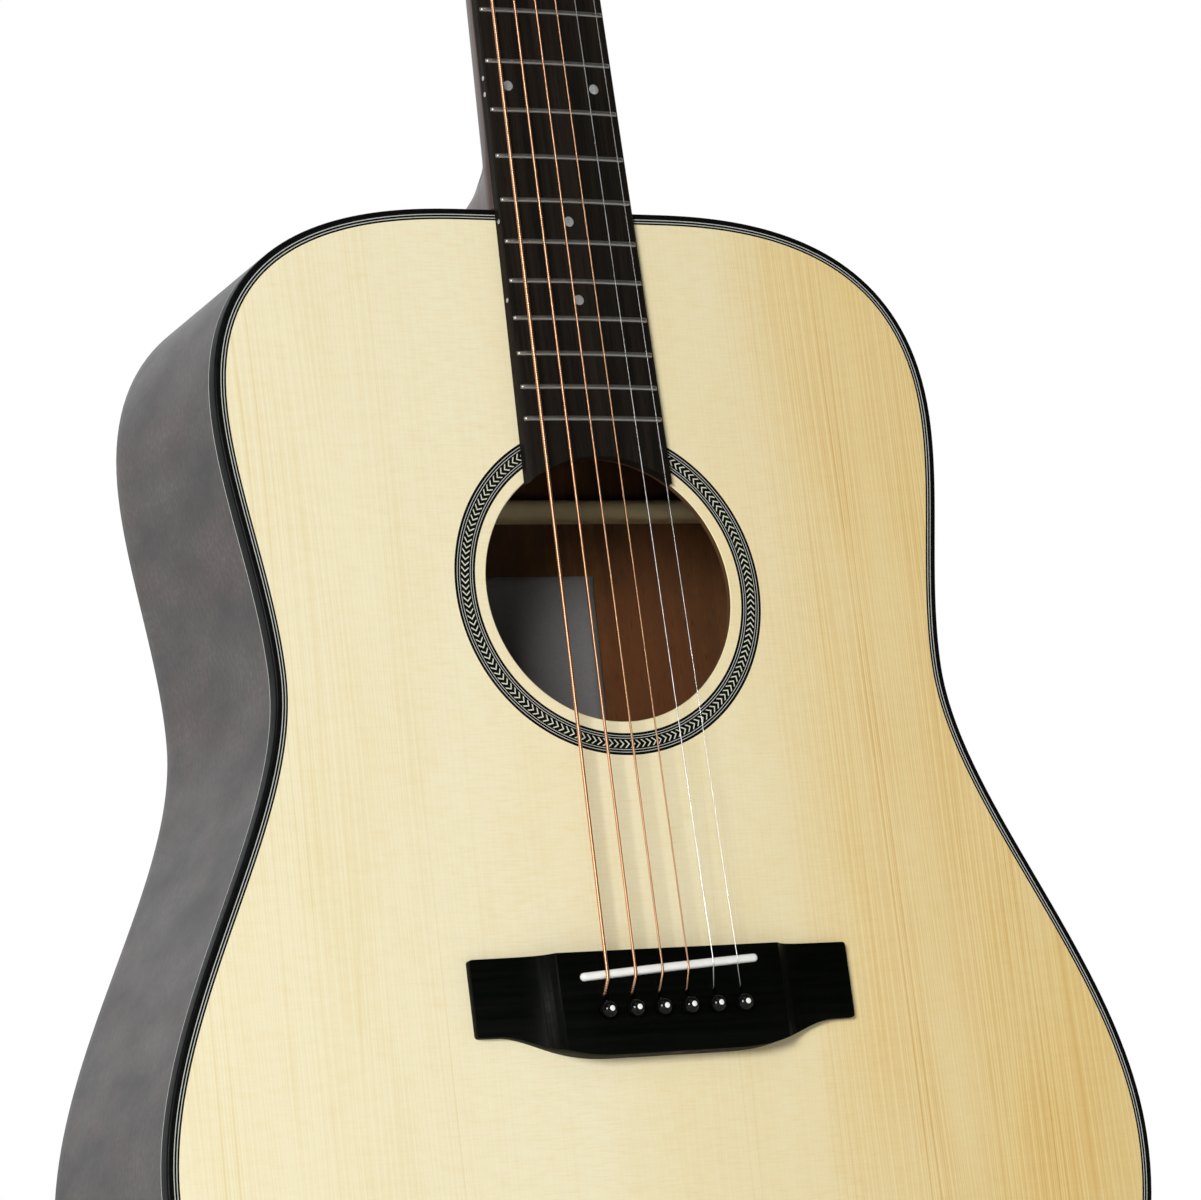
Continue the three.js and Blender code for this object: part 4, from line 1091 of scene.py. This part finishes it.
def string_x(number, spread_and_shift):
    """A string's place across the guitar: the gaps between neighbours are equal."""
    spread, shift = spread_and_shift
    steps = [a + b for a, b in zip(STRING_RADII, STRING_RADII[1:])]
    gap = (spread - sum(steps)) / len(steps)
    return spread / 2 - sum(step + gap for step in steps[:number - 1]) + shift


def build_nut():
    """A bone block with a rounded top and a notch under each string."""
    half = BOARD_HALF_AT_NUT
    front, back = SCALE_LENGTH + 0.1, SCALE_LENGTH + NUT_THICKNESS
    drops = {side * (half - inset): drop for side in (-1, 1) for inset, drop in NUT_CORNER}
    notched = set()
    for number, radius in enumerate(STRING_RADII, 1):
        x = string_x(number, AT_NUT)
        reach = radius + NUT_SLACK
        notched |= {x - reach, x + reach}
        drops.update({x + place: 0.0 for place in (-reach - 0.1, -reach, reach, reach + 0.1)})
    rings = []
    for x in sorted(drops):
        crest = NUT_HEIGHT - NUT_CROWN * (x / half) ** 2
        top = NUT_STRING_HEIGHT - 0.05 if x in notched else crest - drops[x]
        round_back = min(2.2, top - 5.4)
        section = [(front, 0.0), (front, top - 0.2), (front + 0.2, top), (front + 1.8, top),
                   (back - 0.9, top - 0.35 * round_back), (back - 0.2, top - 0.8 * round_back),
                   (back, top - round_back), (back, 0.0)]
        rings.append([(x, *pair) for pair in section])
    make_piece("nut_block", loft(rings), BONE, "nut", smooth=False)


# ------------------------------------------------------------------ neck, heel and headstock

HEAD_TILT = math.radians(14)
HEAD_START = SCALE_LENGTH + NUT_THICKNESS
HEAD = GUITAR @ Matrix.Translation(Vector((0, HEAD_START, 0)) * MM)
HEAD = HEAD @ Matrix.Rotation(-HEAD_TILT, 4, "X")
HEAD_LENGTH = 180.0
HEAD_THICKNESS = 15.0
HEAD_HALF = 21.4
HEAD_HALF_LOW = 34.0
HEAD_HALF_TOP = 38.0
HEAD_FLARE = 26.0
HEAD_CREST = 12.0
HEAD_CORNER = 9.0
FACE_VENEER = 1.6
SHAFT_DEPTH_AT_NUT = 14.0
SHAFT_DEPTH_AT_BODY = 20.0
SHAFT_SWELL = 2.2
SHAFT_FULLNESS = 2.7
SHAFT_ROUNDNESS = 0.5
FOOT_RUN = 26.0
FOOT_FULLNESS = 16.0
FOOT_ROUNDNESS = 0.1
FOOT_DEPTH = 0.7
FOOT_SINK = 1.2
FOOT_SHARES = (0.12, 0.3, 0.5, 0.7, 0.86, 0.96, 1.0)
FOOT_STEP = 5.5
HEEL_RUN = 96.0
HEEL_BLEND = 7.0
HEEL_FILLET = 10.0
HEEL_FILLET_FALL = 6.0
HEEL_HALF_TOP = 27.0
HEEL_HALF_END = 20.0
HEEL_REACH_TOP = 36.0
HEEL_REACH_END = 17.0
HEEL_CURVE = 2.2
HEEL_CAP = 3.0
HEEL_END = DEPTH_AT_NECK - HEEL_CAP


def heel_slice(depth, shaft):
    """Half width and reach of the heel at a depth, with a fillet where it leaves the shaft."""
    share = max(0.0, min(1.0, (HEEL_END - depth) / HEEL_END))
    fillet = HEEL_FILLET * math.exp((shaft - max(depth, shaft)) / HEEL_FILLET_FALL)
    reach = between(HEEL_REACH_END, HEEL_REACH_TOP, share ** HEEL_CURVE)
    return between(HEEL_HALF_END, HEEL_HALF_TOP, share), reach + fillet


def heel_depth(ahead, shaft):
    """How deep the heel goes at a distance ahead of the body."""
    low, high = 0.0, HEEL_END
    for _ in range(24):
        middle = (low + high) / 2
        if heel_slice(middle, shaft)[1] > ahead:
            low = middle
        else:
            high = middle
    return high if high == HEEL_END else low


def near_head(y):
    """0 along the shaft, rising to 1 where it meets the headstock's foot."""
    return min(1.0, max(0.0, (y - SCALE_LENGTH) / FOOT_RUN + 1)) ** 2


def shaft_half_at(y, depth, deepest):
    """Half width of the neck's shaft at a depth under the board: round, squarer at the head."""
    share = min(depth / deepest, 1.0)
    fullness = between(SHAFT_FULLNESS, FOOT_FULLNESS, near_head(y))
    roundness = between(SHAFT_ROUNDNESS, FOOT_ROUNDNESS, near_head(y))
    return board_half(y) * (1 - share ** fullness) ** roundness


def blend_up(first, second, reach):
    """The larger of two values, rounded over where they meet."""
    gap = max(reach - abs(first - second), 0) / reach
    return max(first, second) + gap * gap * reach / 4


def neck_ring(y, side_points=26, floor_points=5):
    """A section through neck and heel, from one edge of the board down and up to the other."""
    along = max(SCALE_LENGTH - y, 0.0) / (SCALE_LENGTH - NECK_Y)
    shaft = between(SHAFT_DEPTH_AT_NUT, SHAFT_DEPTH_AT_BODY, along ** SHAFT_SWELL)
    shaft += FOOT_DEPTH * near_head(y)
    ahead = y - NECK_Y
    deepest = max(shaft, heel_depth(ahead, shaft))
    points = []
    for k in range(side_points + 1):
        depth = deepest * math.sin(math.pi / 2 * k / side_points)
        half, reach = heel_slice(depth, shaft)
        heel = half * math.sqrt(max(0.0, 1 - (ahead / reach) ** 2)) if ahead < reach else 0.0
        width = shaft_half_at(y, depth, shaft)
        if heel and depth > 0.5:
            width = blend_up(width, heel, HEEL_BLEND * min(1.0, depth / shaft))
        points.append((min(width, board_half(y)), y, -depth))
    width, _, floor = points[-1]
    points += [(width * (1 - k / floor_points), y, floor) for k in range(1, floor_points + 1)]
    return mirrored(points)


def foot_ring(last, y, share):
    """The shaft's last section on its way into the tilted headstock, under the veneer's face."""
    ahead = y - HEAD_START
    front = min(0.0, -ahead * math.tan(HEAD_TILT)) - FOOT_SINK
    behind = ahead * math.tan(HEAD_TILT) + HEAD_THICKNESS / math.cos(HEAD_TILT)
    ring = []
    for x, _, z in last:
        deep = -z / SHAFT_DEPTH_AT_NUT
        target = front - (behind + front - 0.4) * min(1.0, deep * 2.2)
        lift = FOOT_SINK * math.sin(math.pi * share) * deep
        height = (z + front) * (1 - share) + target * share - lift
        ring.append((x * (1 + 0.1 * share), y, height))
    return ring


def build_neck():
    foot, end = SCALE_LENGTH - FOOT_RUN, SCALE_LENGTH + 3
    stations = [NECK_Y + HEEL_RUN * (k / 46) ** 1.15 for k in range(47)]
    stations += [between(stations[-1], foot, k / 12) for k in range(1, 13)]
    stations += [between(foot, end, k / 12) for k in range(1, 13)]
    rings = [neck_ring(y) for y in stations]
    rings += [foot_ring(rings[-1], end + 5 + step * FOOT_STEP, share)
              for step, share in enumerate(FOOT_SHARES)]
    make_piece("neck_shaft_and_heel", loft(rings), NECK_WOOD, "neck")


def head_outline():
    """Flared at the foot, widening slowly, with rounded corners under a slightly arched top."""
    low, top = HEAD_HALF_LOW, HEAD_HALF_TOP
    rise = HEAD_LENGTH - HEAD_CREST
    corner = (top - HEAD_CORNER, rise + 10)
    half = bezier((HEAD_HALF, -1), (HEAD_HALF, 10), (low, 10), (low, HEAD_FLARE), 14)
    half += [(between(low, top, k / 6), between(HEAD_FLARE, rise, k / 6)) for k in range(6)]
    half += bezier((top, rise), (top, rise + 7), (top - 3, rise + 9), corner, 8)
    half += bezier(corner, (18, rise + 13), (9, rise + 13), (0, rise + 13), 8, end=True)
    return mirrored(half)


POST_PLACES = [(25.0, 42.0), (24.0, 84.0), (23.0, 126.0)]
POST_RADIUS = 3.1
POST_HOLE = 4.2
POST_TOP = 15.0
POST_STRING_Z = 9.0


def tuners():
    """(number, side, x, y) for each machine in the headstock's frame."""
    found = []
    for k, (x, y) in enumerate(POST_PLACES):
        found += [(k + 1, 1, x, y), (6 - k, -1, -x, y)]
    return found


def build_headstock():
    outline = head_outline()
    blank = slab(outline, -HEAD_THICKNESS, -FACE_VENEER, soft=0.05, soft_low=1.2)
    face = slab(outline, -FACE_VENEER, 0.0, soft=0.6)
    for piece in (make_piece("headstock_blank", blank, NECK_WOOD, matrix=HEAD),
                  make_piece("headstock_face", face, BOARD_WOOD, matrix=HEAD)):
        for _, _, x, y in tuners():
            cut_by(piece, moved(lathe([(POST_HOLE, -30), (POST_HOLE, 10)], 32), x, y))
        shade_by_angle(piece, 32)


def build_heel_cap():
    rings = []
    for height, size in ((HEEL_CAP, 1), (0.6, 1), (0.15, 0.985), (0.0, 0.95)):
        plan = arc(0, NECK_Y, HEEL_HALF_END * size, 0, 180, 32, HEEL_REACH_END * size)
        rings.append([(x, y, height - DEPTH_AT_NECK) for x, y in plan])
    make_piece("heel_cap_plate", loft(rings), BINDING, "heel_cap", crease=32)


# ------------------------------------------------------------------ bridge, saddle and pins

BRIDGE_LOW, BRIDGE_HIGH = inner_box("bridge")
BRIDGE_HALF, BRIDGE_FRONT, BRIDGE_HEIGHT = BRIDGE_HIGH
BELLY_BACK = BRIDGE_LOW.y
WING_BACK = -23.0
WING_HEIGHT = 3.6
RIDGE = 45.0
BELLY_FLAT = 24.0
BELLY_END = 68.0
BRIDGE_CORNER = 1.2
SADDLE_LENGTH = 72.6
SADDLE_THICKNESS = 3.0
SADDLE_X = -0.4
SADDLE_Y = -2.2
SADDLE_TOP = 11.8
SADDLE_FLOOR = 3.8
SADDLE_ROUND = 1.3
SADDLE_END_DROP = 1.2
SADDLE_ANGLE = math.radians(3.2)
SADDLE_DROP = 900.0
SADDLE_SLACK = 0.12
PIN_Y = -16.4
PIN_PITCH = 11.0
PIN_HOLE = 3.2
PIN_BALL = 3.35
PIN_LENGTH = 24.5
STRING_EXIT_Y = -12.6


def bridge_outline():
    """Counterclockwise, from the middle of the belly round the treble wing and back."""
    half, front, corner = BRIDGE_HALF, BRIDGE_FRONT, BRIDGE_CORNER
    right = [(BELLY_FLAT * k / 6, BELLY_BACK) for k in range(6)]
    right += bezier((BELLY_FLAT, BELLY_BACK), (48, BELLY_BACK), (54, WING_BACK - 1),
                    (BELLY_END, WING_BACK), 28)
    right += arc(half - corner, WING_BACK + corner, corner, -90, 0, 8)
    right += arc(half - corner, front - corner, corner, 0, 90, 8)
    return right + [(-x, y) for x, y in right[:0:-1]]


def wing_cutter(side):
    """The space over one wing: a hollow that climbs to a crisp ridge."""
    over, outside = BRIDGE_HEIGHT + 3, BRIDGE_HALF + 3
    profile = [(RIDGE, over)]
    profile += bezier((RIDGE, BRIDGE_HEIGHT), (RIDGE + 3.2, WING_HEIGHT + 1.6),
                      (RIDGE + 7, WING_HEIGHT + 0.4), (RIDGE + 15, WING_HEIGHT), 14)
    profile += [(outside, WING_HEIGHT - 0.7), (outside, over)]
    rings = [[(side * x, y, z) for x, z in profile] for y in (BELLY_BACK - 3, BRIDGE_FRONT + 3)]
    return loft(rings)


def saddle_turn(part):
    return moved(part, SADDLE_X, SADDLE_Y, 0, Matrix.Rotation(SADDLE_ANGLE, 4, "Z"))


def build_bridge():
    block = raised(bridge_outline(), 0, BRIDGE_HEIGHT)
    bridge = make_piece("bridge_body", block, EBONY, "bridge", smooth=False)
    for side in (1, -1):
        cut_by(bridge, wing_cutter(side))
    soften(bridge, 0.9, segments=3, angle=30)
    width = SADDLE_THICKNESS / 2 + SADDLE_SLACK
    centre = SADDLE_LENGTH / 2 + SADDLE_SLACK - width
    slot = arc(centre, 0, width, -90, 90, 10) + arc(-centre, 0, width, 90, 270, 10)
    cut_by(bridge, saddle_turn(slab(slot, SADDLE_FLOOR - 0.2, 14, soft=0.01)))
    for number in range(1, 7):
        cut_by(bridge, moved(lathe([(PIN_HOLE, -2), (PIN_HOLE, 14)], 28), pin_x(number), PIN_Y))
        cut_by(bridge, string_ramp(number))
    shade_by_angle(bridge, 24)


def string_ramp(number):
    """A small slot that lets the string lean forward out of its hole."""
    x = pin_x(number)
    half = 0.55 + STRING_RADII[number - 1]
    start, top = STRING_EXIT_Y - 1.2, BRIDGE_HEIGHT + 1
    profile = [(start, 2.5), (STRING_EXIT_Y + 0.6, 2.5), (STRING_EXIT_Y + 3.4, top), (start, top)]
    return loft([[(x + side * half, y, z) for y, z in profile] for side in (-1, 1)])


def pin_x(number):
    return (3.5 - number) * PIN_PITCH


def saddle_crest(x):
    return SADDLE_TOP - x * x / SADDLE_DROP


def build_saddle():
    """A bone bar, round along its crest and lower at its ends."""
    half, thick = SADDLE_LENGTH / 2, SADDLE_THICKNESS / 2
    rings = []
    for k in range(49):
        x = half * math.sin(math.pi * (k / 48 - 0.5))
        short = 1 - min(1.0, (half - abs(x)) / thick)
        wide = thick * math.sqrt(max(0.04, 1 - short ** 2))
        shoulder = saddle_crest(x) - SADDLE_END_DROP * short ** 2 - SADDLE_ROUND
        section = arc(0, shoulder, wide, 180, 0, 8, SADDLE_ROUND)
        section = [(-wide, SADDLE_FLOOR)] + section + [(wide, SADDLE_FLOOR)]
        rings.append([(x, *pair) for pair in section])
    make_piece("saddle_bar", saddle_turn(loft(rings)), BONE, "saddle", crease=50)


def build_pins():
    """Black pins with round heads, a narrow collar and a white dot."""
    collar = BRIDGE_HEIGHT + 0.3
    end = collar - PIN_LENGTH
    profile = [(0.0, end), (1.6, end), (2.1, end + 0.7), (2.6, collar), (3.1, collar),
               (3.25, collar + 0.3)]
    profile += arc(0, collar + 1.15, PIN_BALL, -18, 90, 12, PIN_BALL * 0.86)
    crest = profile[-1][1]
    dot = [(0.0, crest - 0.5), (1.0, crest - 0.5), (1.0, crest - 0.1), (0.9, crest - 0.03),
           (0.5, crest + 0.05), (0.0, crest + 0.06)]
    body, mark = lathe(profile, 40), lathe(dot, 28)
    tags = [0] * len(body[1]) + [1] * len(mark[1])
    for number in range(1, 7):
        node = f"bridge_pin_{number}"
        placed = moved(join(body, mark), pin_x(number), PIN_Y)
        make_piece(f"pin_{number}_with_dot", placed, PIN_BLACK, node, node, crease=50,
                   second=DOT_WHITE, tags=tags)


# ------------------------------------------------------------------ strings

def build_string(number, points, radius, sides, name, **options):
    """A wire through points: wound from the third string down, plain above."""
    wound = number in WOUND
    part, uvs = tube(points, radius, sides)
    make_piece(f"string_{number}_{name}", part, WOUND[number] if wound else STEEL, uvs=uvs,
               slot="bronze_string" if wound else "plain_steel_string", **options)


def build_strings():
    """From a pin's hole over the saddle and the nut to a post, and round it in a coil."""
    for number, side, post_x, post_y in tuners():
        radius = STRING_RADII[number - 1]
        pin, over, nut = pin_x(number), string_x(number, AT_SADDLE), string_x(number, AT_NUT)
        crest = SADDLE_Y + over * math.tan(SADDLE_ANGLE)
        top = saddle_crest(over) + radius
        nut_top = NUT_STRING_HEIGHT + radius
        places = [(pin, STRING_EXIT_Y, -8), (pin, STRING_EXIT_Y, 2.6),
                  (pin - 0.1, STRING_EXIT_Y + 0.9, 5.4), (pin - 0.35, STRING_EXIT_Y + 2.4, 9.3),
                  (over, crest - 2.2, top - 0.55), (over, crest - 1.1, top - 0.12),
                  (over, crest, top), (over, crest + 1.3, top - 0.02),
                  (nut, SCALE_LENGTH, nut_top), (nut, HEAD_START - 1.2, nut_top - 0.25),
                  (nut, HEAD_START, nut_top - 0.9)]
        touch = Vector((post_x - side * (POST_RADIUS + radius), post_y, POST_STRING_Z))
        touch = Matrix.Rotation(-HEAD_TILT, 4, "X") @ touch + Vector((0, HEAD_START, 0))
        points = [Vector(place) for place in places] + [touch]
        build_string(number, points, radius, 14, "length", replaces=f"string_{number}")
        build_coil(number, side, post_x, post_y, radius)


COIL_TURNS = 3
COIL_STEPS = 26
COIL_PITCH = 2.1


def build_coil(number, side, x, y, radius):
    """The turns of string on a post, which follow the post round."""
    points = []
    for k in range(COIL_TURNS * COIL_STEPS + 1):
        turns = k / COIL_STEPS
        across, along = polar(POST_RADIUS + radius, 2 * math.pi * turns)
        height = POST_STRING_Z - COIL_PITCH * radius * turns
        points.append(Vector((x - side * across, y + along, height)))
    build_string(number, points, radius, 10, "coil", matrix=HEAD, body=f"string_post_{number}")


# ------------------------------------------------------------------ tuning machines

GEAR_Z = -21.0
GEAR_RADIUS = 6.5
GEAR_ROOT = GEAR_RADIUS - 1.1
GEAR_HALF = 1.1
GEAR_TEETH = 15
GEAR_TOOTH = ((0.0, GEAR_ROOT), (0.3, GEAR_ROOT), (0.42, GEAR_RADIUS), (0.68, GEAR_RADIUS),
              (0.8, GEAR_ROOT))
WORM_OFFSET = 9.9
WORM_RADIUS = 3.0
WORM_THREAD = 0.75
WORM_PITCH = 2.5
WORM_HALF = 5.6
WORM_SHAFT = 1.9
WORM_SIDES = 20
LUG_OFFSET = 7.5
LUG_HALF_THICK = 1.2
LUG_HALF_WIDE = 3.8
PLATE_TOP = -HEAD_THICKNESS - 0.3
PLATE_THICKNESS = 1.5
PLATE_INNER = 14.0
PLATE_OUTER = 33.0
PLATE_ENDS = (28.0, 148.0)
SCREW_PLACES = (32.0, 68.0, 110.0, 144.0)
BUTTON_FROM = 43.0
BUTTON_LENGTH = 16.0
BUTTON_HALF_WIDE = 9.5
BUTTON_HALF_THICK = 5.0


def gear():
    """A toothed wheel with a hub and a screw head underneath."""
    outline = []
    for k in range(GEAR_TEETH):
        for share, radius in GEAR_TOOTH:
            outline.append(polar(radius, 2 * math.pi * (k + share) / GEAR_TEETH))
    low, high = GEAR_Z - GEAR_HALF, GEAR_Z + GEAR_HALF
    wheel = slab(outline, low, high, soft=0.15, steps=2, soft_low=0.15)
    hub = lathe([(0.0, high - 0.2), (4.2, high - 0.2), (4.2, high + 0.7), (0.0, high + 0.7)], 28)
    screw = lathe([(0.0, low - 0.9), (1.7, low - 0.9), (2.4, low - 0.6), (2.7, low + 0.1),
                   (0.0, low + 0.1)], 28)
    return join(wheel, hub, screw)


def build_posts():
    waist = POST_RADIUS - 0.35
    profile = [(0.0, GEAR_Z), (POST_RADIUS, GEAR_Z), (POST_RADIUS, POST_STRING_Z - 5),
               (waist, POST_STRING_Z - 3.4), (waist, POST_STRING_Z + 2),
               (POST_RADIUS, POST_STRING_Z + 3.4), (POST_RADIUS, POST_TOP - 1.2),
               (POST_RADIUS - 0.3, POST_TOP - 0.5), (POST_RADIUS - 0.9, POST_TOP - 0.05),
               (1.2, POST_TOP), (0.9, POST_TOP - 0.4), (0.0, POST_TOP - 0.5)]
    for number, _, x, y in tuners():
        node = f"string_post_{number}"
        make_piece(f"post_{number}_with_gear", moved(join(lathe(profile, 32), gear()), x, y),
                   CHROME, node, node, matrix=HEAD, crease=35)


def worm(start, end):
    """A threaded bar along x, thin at its ends."""
    count = int((end - start) * 5)
    rings = []
    for k in range(count + 1):
        x = between(start, end, k / count)
        edge = min(1.0, 4 * k / count, 4 * (count - k) / count)
        ring = []
        for i in range(WORM_SIDES):
            angle = 2 * math.pi * i / WORM_SIDES
            wave = math.cos(angle - 2 * math.pi * x / WORM_PITCH)
            radius = WORM_RADIUS - WORM_THREAD + WORM_THREAD * edge * (0.5 + 0.5 * wave)
            ring.append((x, *polar(radius, angle)))
        rings.append(ring)
    return loft(rings)


def knob(middle):
    """A flattened oval grip with full edges and a shallow waist at the shaft."""
    rows = 20
    rings = []
    for j in range(rows + 1):
        angle = math.pi * j / rows
        x = middle - math.cos(angle) * BUTTON_LENGTH / 2
        spread = max(math.sin(angle), 0.001) ** 0.7
        ring = []
        for c, s in circle(1, 36):
            wide = math.copysign(abs(c) ** 0.85, c) * BUTTON_HALF_WIDE * spread
            dish = 1 - 0.22 * (1 - abs(c)) * math.sin(angle)
            thick = math.copysign(abs(s) ** 0.7, s) * BUTTON_HALF_THICK * spread ** 0.6 * dish
            ring.append((x, wide, thick))
        rings.append(ring)
    return loft(rings)


def build_buttons():
    """Each with its shaft, a collar and the worm on the shaft."""
    collar_profile = [(0.0, -2), (2.6, -2), (3.3, -1.4), (3.3, 0.6), (2.6, 1.8), (2.6, 3), (0.0, 3)]
    for number, side, x, y in tuners():
        inner, start = x - side * 10, side * BUTTON_FROM
        end = start + side * 2
        shaft = lathe([(0.0, inner), (WORM_SHAFT - 0.2, inner), (WORM_SHAFT, inner + side * 0.3),
                       (WORM_SHAFT, end), (0.0, end)], 28, axis=0)
        collar = lathe([(r, start + side * out) for r, out in collar_profile], 28, axis=0)
        grip = knob(start + side * BUTTON_LENGTH / 2)
        parts = join(shaft, collar, grip, worm(x - WORM_HALF, x + WORM_HALF))
        node = f"tuner_button_{number}"
        make_piece(f"button_{number}_with_worm", moved(parts, 0, y + WORM_OFFSET, GEAR_Z), CHROME,
                   node, node, matrix=HEAD, crease=38)


def screw_head(x, y, z):
    """A small screw that faces back."""
    head = lathe([(0.0, z + 0.2), (1.9, z + 0.2), (1.8, z - 0.3), (1.1, z - 0.75), (0.0, z - 0.85)],
                 20)
    return moved(head, x, y)


def build_tuner_plates():
    """One strip a side with two lugs for each machine, its screws and the bushings in front."""
    low = PLATE_TOP - PLATE_THICKNESS
    y0, y1 = PLATE_ENDS
    for side, label in ((1, "treble"), (-1, "bass")):
        x0, x1 = sorted((side * PLATE_INNER, side * PLATE_OUTER))
        strip_plan = rounded_rect(x0, x1, y0, y1, 3.0)
        parts = [slab(strip_plan, low, PLATE_TOP, soft=0.3, soft_low=0.4)]
        bushes = []
        for x, y in [(x, y) for _, of_side, x, y in tuners() if of_side == side]:
            for middle in (x - LUG_OFFSET, x + LUG_OFFSET):
                plan = rounded_rect(middle - LUG_HALF_THICK, middle + LUG_HALF_THICK,
                                    y + WORM_OFFSET - LUG_HALF_WIDE,
                                    y + WORM_OFFSET + LUG_HALF_WIDE, 0.6)
                parts.append(slab(plan, GEAR_Z - 3.4, low + 0.3, soft=0.1, soft_low=0.9))
            bushes.append(bushing(x, y))
        parts += [screw_head((x0 + x1) / 2, y, low) for y in SCREW_PLACES]
        make_piece(f"machine_plate_{label}", join(*parts), CHROME, f"tuner_plate_{label}",
                   matrix=HEAD, crease=35)
        make_piece(f"post_bushings_{label}", join(*bushes), CHROME, matrix=HEAD, crease=35)


def rounded_rect(x0, x1, y0, y1, radius):
    points = []
    for x, y, start in ((x1 - radius, y0 + radius, -90), (x1 - radius, y1 - radius, 0),
                        (x0 + radius, y1 - radius, 90), (x0 + radius, y0 + radius, 180)):
        points += arc(x, y, radius, start, start + 90, 6)
    return points


def bushing(x, y):
    """A washer and collar round a post on the headstock's face."""
    bore = POST_RADIUS + 0.35
    return hoop([(bore, 0.02), (6.6, 0.02), (6.6, 0.5), (6.3, 0.75), (5.4, 0.8), (5.2, 1.0),
                 (5.2, 2.2), (4.8, 2.6), (bore, 2.6)], x, y, 36)


STRAP_PEG_LENGTH = 12.0


def build_strap_button():
    """A turned peg whose face is the lowest point of the guitar."""
    low, high = inner_box("strap_button")
    profile = [(0.0, 22.0), (4.0, 22.0), (4.0, 0.2), (6.3, 0.2), (6.3, -0.9), (5.6, -2.0),
               (4.7, -3.6), (4.3, -5.2), (4.6, -6.8), (5.9, -8.4), (7.1, -9.4), (7.5, -10.2),
               (7.5, -11.0), (7.1, -11.7), (6.4, -12.0), (0.0, -STRAP_PEG_LENGTH)]
    peg = moved(lathe(profile, 40, axis=1), 0, low.y + STRAP_PEG_LENGTH, (low.z + high.z) / 2)
    make_piece("strap_peg", peg, PEG_BLACK, "strap_button", crease=40)


# ------------------------------------------------------------------ stage

FLOOR_RADIUS = 1300.0
WALL_START = -0.25
WALL_FULL = 0.45
FRONT_GLOW = 0.06
WALL_GLOW = 1.0
AZIMUTH = math.radians(27.96)
ELEVATION = math.radians(12.83)
ROLL = math.radians(-7.33)
CAMERA_PLACE = (-0.7947, -1.5507, -0.0176)
LENS = 141.58
GUITAR_MIDDLE = Vector((0, 0, 0.45))


def build_floor():
    paint = Paint("pale_floor")
    base = paint.mix(paint.noise(3.0), colour(244, 244, 243), colour(238, 238, 238))
    verts, faces = loft([[(x, y, -0.5) for x, y in circle(radius, 96)]
                         for radius in (FLOOR_RADIUS, 1)], caps=False)
    mesh = new_mesh("floor", (verts, faces + [tuple(range(96, 192))]))
    mesh.materials.append(paint.set(Base_Color=base, Roughness=0.9))
    add_object("floor", mesh)


def add_light(name, place, size, power, tint):
    """A square soft box that looks at the guitar's middle."""
    lamp = bpy.data.lights.new(name, "AREA")
    lamp.shape = "RECTANGLE"
    lamp.size = size
    lamp.size_y = size
    lamp.energy = power
    lamp.color = tint
    light = add_object(name, lamp)
    light.location = place
    light.rotation_euler = (GUITAR_MIDDLE - Vector(place)).to_track_quat("-Z", "Y").to_euler()


def build_world():
    """White to the camera. As a light it is a white wall behind the guitar, dark in front."""
    world = bpy.data.worlds.new("studio")
    bpy.context.scene.world = world
    studio = Nodes(world)
    seen = studio.node("Background", {0: (1, 1, 1, 1)})
    coords = studio.node("TexCoord", output=None).outputs["Generated"]
    depth = studio.node("SeparateXYZ", {0: coords}, 1)
    glow = studio.node("MapRange", {0: depth, 1: WALL_START, 2: WALL_FULL, 3: FRONT_GLOW,
                                    4: WALL_GLOW}, interpolation_type="SMOOTHSTEP")
    lit = studio.node("Background", {0: (0.96, 0.98, 1.0, 1), 1: glow})
    to_camera = studio.node("LightPath", output="Is Camera Ray")
    mix = studio.node("MixShader", {0: to_camera, 1: lit, 2: seen})
    studio.node("OutputWorld", {0: mix}, None)


def build_camera():
    data = bpy.data.cameras.new("camera")
    data.lens = LENS
    data.sensor_width = 36
    data.clip_start = 0.05
    turn = Matrix.Rotation(-AZIMUTH, 4, "Z") @ Matrix.Rotation(math.pi / 2 + ELEVATION, 4, "X")
    turn = Matrix.Translation(CAMERA_PLACE) @ turn @ Matrix.Rotation(ROLL, 4, "Z")
    bpy.context.scene.camera = add_object("camera", data, turn)


def build_stage():
    build_world()
    build_floor()
    build_camera()
    add_light("key", (-1.56, -2.0, 0.55), 0.7, 55, (1.0, 0.99, 0.97))
    add_light("high_fill", (-0.5, -2.4, 2.4), 1.4, 6, (0.97, 0.985, 1.0))
    bpy.context.scene.view_settings.view_transform = "Standard"
    bpy.context.scene.view_settings.look = "None"


for build in (build_soundboard, build_purfling, build_bindings, build_sides, build_rosette,
              build_chevrons, build_back, build_label, build_linings, build_inside,
              build_back_braces, build_fingerboard, build_frets, build_markers, build_nut,
              build_neck, build_headstock, build_heel_cap, build_bridge, build_saddle, build_pins,
              build_strings, build_posts, build_buttons, build_tuner_plates, build_strap_button,
              build_stage):
    build()
